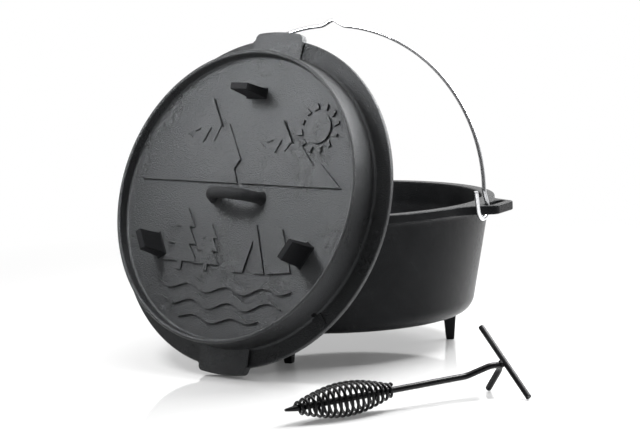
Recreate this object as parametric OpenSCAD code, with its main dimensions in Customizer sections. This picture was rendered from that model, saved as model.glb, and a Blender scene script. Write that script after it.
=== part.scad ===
// Camp dutch oven with its lid leaning on the rim, its wire bail and its lid lifter

/* [Layout] */
// Place of the pot's axis on the floor, from the middle of the whole layout
pot_place = [-64.4, 127.2, 0];

/* [Pot] */
// Height of the rim's top above the floor
rim_height = 176.7; // [140:0.1:220]
// Outer radius of the rim band
rim_radius = 190; // [150:0.5:220]
// Width of the rim's top from its outer edge to the mouth
rim_width = 15.6; // [8:0.1:30]
// Height of the rim band
band_height = 10.2; // [6:0.1:20]
// Step from the band in to the wall under it
band_step = 7; // [2:0.1:12]
// Draft of the wall's outside
wall_draft = 10.5; // [0:0.5:20]
// Thickness of the wall below the rim
wall_thickness = 5.6; // [4:0.1:10]
// Height of the underside above the floor
foot_height = 37.1; // [20:0.1:60]
// Thickness of the pot's bottom
floor_thickness = 6; // [4:0.1:12]
// Outer radius of the bottom corner
corner_radius = 22.8; // [10:0.1:40]
// Inner radius of the bottom corner
inner_corner_radius = 18; // [8:0.5:35]

/* [Feet] */
// Distance of each foot's middle inside the edge of the flat bottom
foot_inset = 7.45; // [4:0.05:30]
// Width of a foot where it leaves the pot
foot_top = 15; // [8:0.5:30]
// Width of a foot on the floor
foot_tip = 9; // [5:0.5:20]
// Directions of the feet from the ear axis
foot_angles = [30, 150, 270];

/* [Ears] */
// Length of an ear outside the rim
ear_length = 31; // [24:0.5:50]
// Depth of an ear's root inside the rim
ear_root = 6; // [3:0.5:12]
// Thickness of an ear
ear_thickness = 10.5; // [6:0.1:16]
// Radius of an ear's outer corners
ear_corner = 10; // [4:0.5:16]
// Room between the slot's end and the ear's outer corner
ear_margin = 4; // [2:0.5:15]
// Angle between an ear's flank and the ear axis
ear_flank = 30; // [10:1:45]
// Distance of the slot's middle outside the rim
slot_offset = 14.8; // [10:0.1:24]
// Width of the slot
slot_width = 13.5; // [6:0.5:16]
// Length of the slot from end to end
slot_length = 48; // [30:1:56]

/* [Bail] */
// Diameter of the bail's wire
bail_wire = 5; // [3:0.1:8]
// Distance of the arch's ends inside the middles of the slots
arch_inset = 2.8; // [0:0.1:10]
// Height of the arch's centre above the hinge
arch_rise = 8.7; // [0:0.1:30]
// Distance of the arch's plane behind the hinge
arch_offset = 8.7; // [0:0.1:14]
// Lean of the bail towards the back
bail_lean = 7.6; // [0:0.1:20]
// Radius of the hook's bend
hook_radius = 14; // [10:0.5:20]
// Length of the hook's free leg
hook_leg = 23.5; // [5:0.5:40]
// Turn of the hook past the slot
hook_turn = 159; // [120:1:180]
// Height above the hinge where the wire starts to jog outwards
jog_top = 17; // [8:0.5:40]
// Half of the width of the kink at the top
kink_half = 14; // [5:0.5:30]
// Height of the kink over the arch
kink_height = 7.2; // [0:0.1:20]
// Distance of the hinge line in front of the slot's end
hinge_inset = 5; // [2:0.1:10]
// Depth of the hinge line below the rim's top
hinge_depth = 1.2; // [0:0.1:10]

/* [Lid] */
// Reach of the lid's flange past the rim
flange_overhang = 3; // [-2:0.1:6]
// Thickness of the flange at its edge
flange_thickness = 6; // [3:0.1:12]
// Spread of the lid's wall from the tray rim down to the flange
lid_wall_spread = 1.5; // [0:0.1:8]
// Distance of the tray rim inside the pot's mouth
tray_inset = 3.9; // [0:0.1:12]
// Radius between the lid's wall and its flange
foot_fillet = 3.6; // [2:0.1:6]
// Height of the tray rim above the flange
tray_height = 37.5; // [20:0.5:60]
// Thickness of the tray rim
tray_wall = 5; // [3:0.1:10]
// Depth of the tray
tray_depth = 13.5; // [5:0.5:25]
// Thickness of the lid's plate
plate_thickness = 5; // [4:0.1:12]
// Depth of the locating ring under the flange
ring_depth = 4; // [2:0.1:10]
// Clearance between the locating ring and the pot's mouth
ring_clearance = 3.9; // [1:0.1:8]
// Width of a lifting tab
tab_width = 68; // [40:0.5:100]
// Length of a tab outside the flange
tab_length = 7.7; // [4:0.1:20]
// Height of a tab above the flange
tab_height = 2.5; // [2:0.5:20]
// Radius of a tab's corners
tab_corner = 7; // [2:0.5:12]
// Lean of the lid from upright
lid_lean = 19.1; // [10:0.1:35]
// Turn of the lid away from the front foot
lid_turn = 10.3; // [-20:0.1:20]
// Offset of the leaning lid to the right of the pot's axis
lid_side = 4.7; // [-20:0.1:20]
// Clearance between the leaning lid and the rim
lean_gap = 0.3; // [0.1:0.05:1]

/* [Lid legs and handle] */
// Distance of each lid leg's middle inside the tray rim
leg_inset = 43; // [20:0.5:80]
// Width of a lid leg at the plate
leg_width = 27; // [15:0.5:40]
// Thickness of a lid leg at the plate
leg_depth = 10.5; // [6:0.5:20]
// Height of a lid leg above the plate
leg_height = 35; // [15:0.5:50]
// Taper of a lid leg on each side
leg_taper = 1.2; // [0:0.1:4]
// Radius of the loop handle's middle line
loop_radius = 36.5; // [20:0.5:50]
// Thickness of the loop handle
loop_bar = 11.5; // [8:0.5:20]
// Width of the loop handle
loop_width = 13.5; // [12:0.5:24]
// Depth of the loop's centre below the plate's top
loop_sink = 9.5; // [0:0.5:20]
// Shift of the loop handle to the lid's right
loop_shift = -2.5; // [-10:0.5:10]
// Direction of the cable port on the lid
port_angle = -46; // [-180:1:180]
// Radius of the port's hole through the lid's wall
port_bore = 3.2; // [2:0.1:6]
// Height of the port's hole above the flange
port_rise = 4.4; // [4:0.1:12]
// Width of the tongue under the port
tongue_width = 13; // [8:0.5:20]
// Height of the tongue above the flange
tongue_height = 1.6; // [0.8:0.1:3]
// Distance of the tongue's end inside the flange's edge
tongue_inset = 3; // [2:0.5:8]

/* [Lifter] */
// Diameter of the lifter's rod
rod_diameter = 7; // [5:0.1:10]
// Diameter of the crossbar
crossbar_diameter = 6.6; // [5:0.1:10]
// Length of the crossbar
crossbar_length = 107; // [70:1:160]
// Length of the tail's taper
tail_length = 15; // [8:0.5:30]
// Diameter of the tail's tip
tail_tip = 2.6; // [1:0.1:5]
// Distance of the first bend from the crossbar
shoulder_start = 44; // [30:0.5:70]
// Distance of the second bend from the crossbar
shoulder_end = 18; // [14:0.5:28]
// Length of the raised end before the hook's bend
crown_length = 6.9; // [3:0.1:12]
// Step between the rod and its raised end
shoulder_step = 9.7; // [4:0.1:16]
// Radius of the hook's bend
lifter_bend = 9; // [6:0.5:14]
// Turn of the hook's bend
lifter_turn = 98; // [80:1:140]
// Length of the hook's straight leg
lifter_leg = 28.5; // [15:0.5:45]
// Root gap of the crossbar's weld
weld_gap = 0.8; // [0.4:0.1:2]
// Radius of the crossbar's weld bead
weld_radius = 4.6; // [3.5:0.1:7]
// Place of the rod under the crossbar, from the pot's axis
lifter_place = [304.6, -220.5, 25.3];
// Direction of the rod on the floor
lifter_yaw = 57.1; // [0:0.1:90]
// Rise of the rod towards the crossbar
lifter_pitch = 2; // [-5:0.1:10]
// Roll of the lifter about the rod
lifter_roll = 37.5; // [0:0.1:60]

/* [Coil grip] */
// Diameter of the coil's wire
coil_wire = 3.3; // [2:0.1:5]
// Turns of the coil
coil_turns = 17; // [8:1:24]
// Distance of the coil's front end from the crossbar
coil_front = 138; // [110:1:180]
// Length of the coil along the rod
coil_length = 113; // [80:1:160]
// Middle radius of the coil at its belly
coil_belly = 17.1; // [12:0.1:25]
// Gap between the coil's end turns and the rod
coil_end_gap = 0.4; // [0.2:0.05:1]
// Radius of the weld bead on each end
bead_radius = 2.6; // [2:0.1:5]
// Clearance of a weld bead's cut from the rod's skin
bead_seat = 0.08; // [0.06:0.01:0.3]

/* [Hidden] */
$fn = 96;
iron = [0.13, 0.13, 0.14];
plated = [0.72, 0.72, 0.72];
black = [0.05, 0.05, 0.05];
arc_steps = 8;
edge = 1.4;
floor_top = foot_height + floor_thickness;
band_low = rim_height - band_height;
mouth_radius = rim_radius - rim_width;
wall_radius = rim_radius - band_step;
bottom_z = foot_height + corner_radius * (1 - sin(wall_draft));
bottom_radius = wall_radius - (band_low - bottom_z) * tan(wall_draft) - corner_radius * cos(wall_draft);
foot_circle = bottom_radius - foot_inset;
ear_reach = rim_radius + ear_length;
ear_half_edge = slot_length / 2 + ear_margin - ear_corner;
slot_centre = rim_radius + slot_offset;
arch_radius = slot_centre - arch_inset;
hinge = [0, -slot_length / 2 - hinge_inset, rim_height - hinge_depth];
flange_radius = rim_radius + flange_overhang;
ring_radius = mouth_radius - ring_clearance;
tray_radius = mouth_radius - tray_inset;
tray_in = tray_radius - tray_wall;
lid_wall_radius = tray_radius + lid_wall_spread;
tab_reach = flange_radius + tab_length;
leg_circle = tray_in - leg_inset;
plate_top = tray_height - tray_depth;
plate_low = plate_top - plate_thickness;
lid_up = tab_reach * cos(lid_lean) + flange_thickness * sin(lid_lean);
lid_out = rim_radius + ((rim_height - lid_up) * sin(lid_lean) - plate_low + lean_gap) / cos(lid_lean);
rod_r = rod_diameter / 2;
bar_r = crossbar_diameter / 2;
bend_centre = [-shoulder_end + crown_length, shoulder_step - lifter_bend];
bar_reach = lifter_bend + rod_r + weld_gap + bar_r;
bar_centre = bend_centre + bar_reach * [cos(45), sin(45)];
coil_tail = coil_front + coil_length;
lifter_length = coil_tail + tail_length;
coil_end = rod_r + coil_end_gap + coil_wire / 2;
coil_rings = 12;
coil_sides = 6;

function arc(c, r, from, to) =
    [for (i = [0:arc_steps]) let (a = from + (to - from) * i / arc_steps) c + r * [cos(a), sin(a)]];

function unit(v) = v / norm(v);

// Outer wall radius of the pot at a height
function wall_at(z) = wall_radius - (band_low - z) * tan(wall_draft);

// Centre of a bottom corner's arc, inside a wall of given draft
function corner_at(r_wall, z, r, draft) = [r_wall - r * cos(draft), z + r];

// Middle line of the coil: a barrel helix whose ends run straight into their weld beads
function coil_radius(t) = coil_end + (coil_belly - coil_end) * sin(180 * t);

function coil_helix(t) =
    let (a = 360 * coil_turns * t)
    [-coil_tail + coil_length * t, coil_radius(t) * cos(a), coil_radius(t) * sin(a)];

function coil_stub(x, length) = [x, coil_end, length];

function reversed(list) = [for (i = [len(list) - 1:-1:0]) list[i]];

coil_count = coil_turns * coil_rings;
coil_path = concat(
    [coil_stub(-coil_tail, -coil_wire)],
    [for (i = [0:coil_count]) coil_helix(i / coil_count)],
    [coil_stub(-coil_front, coil_wire)]);
coil_gaps = [for (i = [0:len(coil_path) - 1])
    for (j = [i + floor(coil_rings / 2):1:min(len(coil_path) - 1, i + 2 * coil_rings)])
        norm(coil_path[i] - coil_path[j]) - coil_wire];
echo(least_gap_of_the_coil_to_itself = min(coil_gaps));

// Straight round bar between two points
module bar(from, to, r) {
    d = to - from;
    translate(from)
        rotate([0, acos(d.z / norm(d)), atan2(d.y, d.x)])
            cylinder(h = norm(d), r = r);
}

// Round corner between two bars
module corner(at, r) {
    translate(at) sphere(r = r + 0.05);
}

// Block on a base plate that narrows towards its end on all four sides
module tapered_block(width, depth, height, taper_w, taper_d) {
    intersection() {
        rotate([90, 0, 0])
            linear_extrude(depth * 2, center = true)
                polygon([[-width / 2, 0], [width / 2, 0], [width / 2 - taper_w, height], [taper_w - width / 2, height]]);
        rotate([90, 0, 90])
            linear_extrude(width * 2, center = true)
                polygon([[-depth / 2, 0], [depth / 2, 0], [depth / 2 - taper_d, height], [taper_d - depth / 2, height]]);
    }
}

module pot_shell() {
    inner_z = floor_top + inner_corner_radius * (1 - sin(wall_draft));
    throat_z = band_low - (wall_radius - wall_thickness - mouth_radius) / tan(wall_draft);
    inner_c = corner_at(wall_at(inner_z) - wall_thickness, floor_top, inner_corner_radius, wall_draft);
    rotate_extrude()
        polygon(concat(
            [[0, floor_top], [0, foot_height]],
            arc([bottom_radius, foot_height + corner_radius], corner_radius, -90, -wall_draft),
            [[wall_at(band_low - 5), band_low - 5], [wall_radius + 2, band_low - 1]],
            arc([rim_radius - edge, band_low + edge], edge, -90, 0),
            arc([rim_radius - edge, rim_height - edge], edge, 0, 90),
            arc([mouth_radius + edge, rim_height - edge], edge, 90, 180),
            [[mouth_radius, throat_z]],
            reversed(arc(inner_c, inner_corner_radius, -90, -wall_draft))));
}

module ear_outline() {
    flank = ear_reach - ear_corner + ear_corner * sin(ear_flank);
    root = rim_radius - ear_root;
    spread = ear_half_edge + ear_corner * cos(ear_flank) + (flank - root) * tan(ear_flank);
    c = [ear_reach - ear_corner, ear_half_edge];
    polygon(concat(
        [[root, -spread]],
        arc([c.x, -c.y], ear_corner, ear_flank - 90, 0),
        arc(c, ear_corner, 0, 90 - ear_flank),
        [[root, spread]]));
}

module ear() {
    half = slot_length / 2 - slot_width / 2;
    difference() {
        translate([0, 0, rim_height - ear_thickness])
            linear_extrude(ear_thickness - 0.02)
                ear_outline();
        translate([slot_centre, 0, rim_height - ear_thickness - 5])
            linear_extrude(ear_thickness + 10) {
                square([slot_width, 2 * half], center = true);
                translate([0, half]) circle(d = slot_width);
                translate([0, -half]) circle(d = slot_width);
            }
    }
}

module foot() {
    translate([foot_circle, 0, foot_height + 3])
        rotate([180, 0, 90])
            tapered_block(foot_top, foot_top, foot_height + 3,
                          (foot_top - foot_tip) / 2, (foot_top - foot_tip) / 2);
}

module pot() {
    color(iron) translate(pot_place) union() {
        pot_shell();
        ear();
        mirror([1, 0, 0]) ear();
        for (a = foot_angles) rotate([0, 0, a]) foot();
    }
}

module lid_shell() {
    low = -flange_thickness;
    lip = low - ring_depth;
    rotate_extrude()
        polygon(concat(
            [[0, plate_top], [0, plate_low]],
            arc([tray_in - 6, plate_low - 6], 6, 90, 4),
            [[tray_in, lip], [ring_radius - 1, lip], [ring_radius, low]],
            arc([flange_radius - edge, low + edge], edge, -90, 0),
            arc([flange_radius - edge, -edge], edge, 0, 90),
            [[lid_wall_radius + foot_fillet + 0.4, 0.6]],
            arc([lid_wall_radius + foot_fillet - 0.2, foot_fillet + 0.8], foot_fillet, 270, 184),
            arc([tray_radius - tray_wall / 2, tray_height - tray_wall / 2], tray_wall / 2, 4, 176),
            arc([tray_in - 3.6, plate_top + 3], 3, 0, -90)));
}

module lid_tab() {
    side = tab_width / 2 - tab_corner;
    up = sqrt(pow(tab_reach - tab_corner, 2) - side * side);
    turn = atan2(up, side);
    translate([0, 0, -flange_thickness])
        linear_extrude(flange_thickness + tab_height)
            polygon(concat(
                [[-tab_width / 2, lid_wall_radius - 5], [tab_width / 2, lid_wall_radius - 5]],
                arc([side, up], tab_corner, 0, turn),
                arc([0, 0], tab_reach, turn + 0.5, 179.5 - turn),
                arc([-side, up], tab_corner, 180 - turn, 180)));
}

// Round-edged bar section of the loop handle
module loop_section() {
    half = (loop_width - loop_bar) / 2;
    square([loop_bar, 2 * half], center = true);
    translate([0, half]) circle(d = loop_bar);
    translate([0, -half]) circle(d = loop_bar);
}

module lid_loop() {
    intersection() {
        translate([loop_shift, 0, plate_top - loop_sink])
            rotate([90, 0, 0])
                rotate_extrude()
                    translate([loop_radius, 0]) loop_section();
        translate([-60, -60, plate_top - 3]) cube([120, 120, 80]);
    }
}

// Hole through the foot of the lid's wall for a thermometer's cable
module port_hole() {
    rotate([0, 0, port_angle])
        translate([tray_in - 8, 0, port_rise])
            rotate([0, 90, 0]) cylinder(h = lid_wall_radius - tray_in + 18, r = port_bore);
}

// Flat tongue on the flange in front of the port
module port_tongue() {
    end = flange_radius - tongue_inset - tongue_width / 2;
    rotate([0, 0, port_angle])
        translate([0, 0, -1])
            linear_extrude(tongue_height + 1) {
                translate([end, 0]) circle(d = tongue_width);
                translate([lid_wall_radius - 1, -tongue_width / 2])
                    square([end - lid_wall_radius + 1, tongue_width]);
            }
}

module lid_body() {
    difference() {
        union() {
            lid_shell();
            lid_tab();
            mirror([0, 1, 0]) lid_tab();
            for (a = [0, 120, 240])
                rotate([0, 0, a])
                    translate([0, leg_circle, plate_top - 1])
                        tapered_block(leg_width, leg_depth, leg_height + 1, leg_taper, leg_taper);
            lid_loop();
            port_tongue();
        }
        port_hole();
    }
}

module lid_placed() {
    rotate([0, 0, -lid_turn])
        translate([lid_side, -lid_out, lid_up])
            rotate([90 - lid_lean, 0, 0])
                children();
}

module lid() {
    color(iron) translate(pot_place) lid_placed() lid_body();
}

// One half of the bail in its own frame: hinge line along X, arch upright
module bail_half() {
    r = bail_wire / 2;
    start = asin((jog_top - arch_rise) / arch_radius);
    stop = 90 - asin(kink_half / arch_radius);
    jog = [arch_radius * cos(start), arch_offset, jog_top];
    leg = [slot_centre, hook_radius, 0];
    shoulder = [kink_half, arch_offset, arch_rise + sqrt(pow(arch_radius, 2) - pow(kink_half, 2))];
    peak = [0, arch_offset, arch_rise + arch_radius + kink_height];
    open = -hook_turn;
    mouth = [slot_centre, hook_radius * cos(open), hook_radius * sin(open)];
    tip = mouth + hook_leg * [0, sin(open), -cos(open)];
    translate([0, arch_offset, arch_rise])
        rotate([90, 0, 0])
            rotate([0, 0, start])
                rotate_extrude(angle = stop - start)
                    translate([arch_radius, 0]) circle(r = r);
    corner(shoulder, r);
    bar(shoulder, peak, r);
    corner(jog, r);
    bar(jog, leg, r);
    corner(leg, r);
    translate([slot_centre, 0, 0])
        rotate([90, 0, 90])
            rotate([0, 0, -hook_turn])
                rotate_extrude(angle = hook_turn)
                    translate([hook_radius, 0]) circle(r = r);
    corner(mouth, r);
    bar(mouth, tip, r);
}

module bail() {
    color(plated)
        translate(pot_place + hinge)
            rotate([-bail_lean, 0, 0]) union() {
                bail_half();
                mirror([1, 0, 0]) bail_half();
                corner([0, arch_offset, arch_rise + arch_radius + kink_height], bail_wire / 2);
            }
}

module lifter_placed() {
    translate(pot_place + lifter_place)
        rotate([lifter_roll, -lifter_pitch, lifter_yaw])
            children();
}

module lifter_rod_body() {
    low = [-shoulder_start, 0, 0];
    high = [-shoulder_end, 0, shoulder_step];
    top = [bend_centre.x, 0, shoulder_step];
    end = 90 - lifter_turn;
    knee = [bend_centre.x + lifter_bend * cos(end), 0, bend_centre.y + lifter_bend * sin(end)];
    tip = knee + lifter_leg * [sin(end), 0, -cos(end)];
    translate([-lifter_length, 0, 0])
        rotate([0, 90, 0]) cylinder(h = tail_length, r1 = tail_tip / 2, r2 = rod_r);
    corner([tail_length - lifter_length, 0, 0], rod_r);
    bar([tail_length - lifter_length, 0, 0], low, rod_r);
    corner(low, rod_r);
    bar(low, high, rod_r);
    corner(high, rod_r);
    bar(high, top, rod_r);
    corner(top, rod_r);
    translate([bend_centre.x, 0, bend_centre.y])
        rotate([90, 0, 0])
            rotate([0, 0, end])
                rotate_extrude(angle = lifter_turn)
                    translate([lifter_bend, 0]) circle(r = rod_r);
    corner(knee, rod_r);
    bar(knee, tip, rod_r);
}

module lifter_rod() {
    color(black) lifter_placed() lifter_rod_body();
}

module crossbar_body() {
    translate([bar_centre.x, 0, bar_centre.y])
        rotate([90, 0, 0]) cylinder(h = crossbar_length, r = bar_r, center = true);
}

module lifter_crossbar() {
    color(black) lifter_placed() crossbar_body();
}

// Bead between the crossbar and the crown of the rod's bend
module crossbar_weld() {
    crown = [bend_centre.x + lifter_bend * cos(45), 0, bend_centre.y + lifter_bend * sin(45)];
    out = [cos(45), 0, sin(45)];
    along = [-sin(45), 0, cos(45)];
    color(black)
        lifter_placed()
            difference() {
                translate(crown + (rod_r + weld_gap / 2) * out) rotate([0, 45, 0]) sphere(r = weld_radius);
                bar(crown - 3 * weld_radius * along, crown + 3 * weld_radius * along, rod_r);
                crossbar_body();
            }
}

module coil_tube() {
    n = len(coil_path);
    function heading(i) = unit(coil_path[min(i + 1, n - 1)] - coil_path[max(i - 1, 0)]);
    function side(i) = let (t = heading(i), x = [1, 0, 0]) unit(x - (x * t) * t);
    function ring(i) = let (t = heading(i), s = side(i), q = cross(t, s))
        [for (k = [0:coil_sides - 1]) let (a = 360 * k / coil_sides)
            coil_path[i] + coil_wire / 2 * (cos(a) * s + sin(a) * q)];
    points = [for (i = [0:n - 1]) each ring(i)];
    walls = [for (i = [0:n - 2]) for (k = [0:coil_sides - 1])
        let (a = i * coil_sides + k, b = i * coil_sides + (k + 1) % coil_sides)
        each [[a, a + coil_sides, b], [b, a + coil_sides, b + coil_sides]]];
    last = (n - 1) * coil_sides;
    caps = [for (k = [1:coil_sides - 2]) each [[0, k, k + 1], [last, last + k + 1, last + k]]];
    polyhedron(points = points, faces = concat(walls, caps));
}

module lifter_grip() {
    color(black) lifter_placed() coil_tube();
}

module grip_bead(x, side) {
    difference() {
        translate([x, coil_end - 0.9, side * (coil_wire + 0.4)]) sphere(r = bead_radius);
        bar([x - 10, 0, 0], [x + 10, 0, 0], rod_r + bead_seat);
        bar([x, coil_end, side * coil_wire], [x, coil_end, -side * coil_wire], coil_wire / 2 + 0.02);
    }
}

module grip_weld_front() {
    color(black) lifter_placed() grip_bead(-coil_front, 1);
}

module grip_weld_tail() {
    color(black) lifter_placed() grip_bead(-coil_tail, -1);
}

pot();
lid();
bail();
lifter_rod();
lifter_crossbar();
lifter_grip();
crossbar_weld();
grip_weld_front();
grip_weld_tail();
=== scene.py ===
"""Camp oven: footed iron pot, leaning tray lid, wire bail and coil-grip lid lifter, in a plain studio.

Every piece is modelled in its own frame, then set into the shared frame in metres. Until then lengths are in
millimetres and angles in degrees, unless a line says otherwise.
"""

import logging
import math
from collections.abc import Callable, Sequence
from dataclasses import dataclass, field, replace
from enum import Enum
from functools import cache

import bpy
from mathutils import Matrix, Vector


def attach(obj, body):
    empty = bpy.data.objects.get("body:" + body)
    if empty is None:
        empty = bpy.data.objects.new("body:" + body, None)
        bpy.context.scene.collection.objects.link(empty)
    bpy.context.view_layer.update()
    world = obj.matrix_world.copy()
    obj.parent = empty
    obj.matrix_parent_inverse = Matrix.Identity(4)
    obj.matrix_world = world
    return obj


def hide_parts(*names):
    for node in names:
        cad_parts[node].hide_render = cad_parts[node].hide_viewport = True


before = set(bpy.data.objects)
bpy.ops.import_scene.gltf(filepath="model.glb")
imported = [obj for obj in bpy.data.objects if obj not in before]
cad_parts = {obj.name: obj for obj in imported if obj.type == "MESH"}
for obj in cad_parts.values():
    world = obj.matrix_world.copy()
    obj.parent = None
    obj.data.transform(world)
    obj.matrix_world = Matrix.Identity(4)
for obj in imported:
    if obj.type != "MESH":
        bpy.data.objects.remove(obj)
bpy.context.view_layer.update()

Point = tuple[float, float, float]
Flat = tuple[float, float]
Colour = tuple[float, float, float, float]
Piece = bpy.types.Object
Face = bpy.types.MeshPolygon
Tree = bpy.types.NodeTree
Node = bpy.types.Node
Socket = bpy.types.NodeSocket

MM = 0.001
MERGE = 0.002
TINY = 1e-9
LOG = logging.getLogger("camp_oven")


class Body(Enum):
    """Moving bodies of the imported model."""

    POT = "oven_pot"
    LID = "oven_lid"
    BAIL = "oven_bail"
    LIFTER = "lid_lifter"


class Slot(Enum):
    """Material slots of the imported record."""

    IRON = "cast_iron"
    WIRE = "plated_wire"
    BLACK = "black_steel"


def turned(angle: float, axis: str = "Z") -> Matrix:
    """Turn by an angle in degrees about an axis of the frame."""
    return Matrix.Rotation(math.radians(angle), 4, axis)


def grey(tone: float) -> Colour:
    """Plain grey of one tone, from 0 for black to 1 for white."""
    return (tone, tone, tone, 1.0)


def arc(centre: Flat, radius: float, start: float, stop: float, steps: int = 10) -> list[Flat]:
    """Points along an arc.

    Args:
        centre: Middle of the arc.
        radius: Radius in millimetres.
        start: First angle in degrees.
        stop: Last angle in degrees.
        steps: Number of chords.

    Returns:
        The points from start to stop, both ends included.
    """
    turns = [math.radians(start + (stop - start) * i / steps) for i in range(steps + 1)]
    return [(centre[0] + radius * math.cos(t), centre[1] + radius * math.sin(t)) for t in turns]


def bow(first: Flat, control: Flat, last: Flat, steps: int = 10) -> list[Flat]:
    """Points along a soft bend from first to last that leans towards control.

    Args:
        first: Start of the bend.
        control: Corner that the bend rounds off.
        last: End of the bend.
        steps: Number of chords.

    Returns:
        The points of the bend, both ends included.
    """
    found = []
    for i in range(steps + 1):
        t = i / steps
        pulls = ((1 - t) ** 2, 2 * t * (1 - t), t * t)
        x, y = (sum(pull * at for pull, at in zip(pulls, line)) for line in zip(first, control, last))
        found.append((x, y))
    return found


def mirrored(outline: Sequence[Flat]) -> list[Flat]:
    """The outline's mirror image across its X axis, in reverse order."""
    return [(x, -y) for x, y in reversed(outline)]


def length_of(path: Sequence[Point]) -> float:
    """Length of a path of straight steps."""
    return sum((Vector(b) - Vector(a)).length for a, b in zip(path, path[1:]))


def even_steps(path: Sequence[Point], step: float, ease: int) -> list[Point]:
    """Resamples a path at even steps and eases its corners.

    Args:
        path: Points of the path.
        step: Distance between new points in millimetres.
        ease: Number of smoothing passes, which round the corners.

    Returns:
        The new points, with both ends where they were.
    """
    corners = [Vector(p) for p in path]
    lengths = [0.0]
    for a, b in zip(corners, corners[1:]):
        lengths.append(lengths[-1] + (b - a).length)
    count = max(2, round(lengths[-1] / step))
    points, k = [], 0
    for i in range(count + 1):
        want = lengths[-1] * i / count
        while k < len(lengths) - 2 and lengths[k + 1] < want:
            k += 1
        span = max(lengths[k + 1] - lengths[k], TINY)
        points.append(corners[k].lerp(corners[k + 1], (want - lengths[k]) / span))
    for _ in range(ease):
        inner = [points[i] * 0.5 + (points[i - 1] + points[i + 1]) * 0.25 for i in range(1, count)]
        points = [points[0], *inner, points[-1]]
    return [tuple(p) for p in points]


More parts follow.
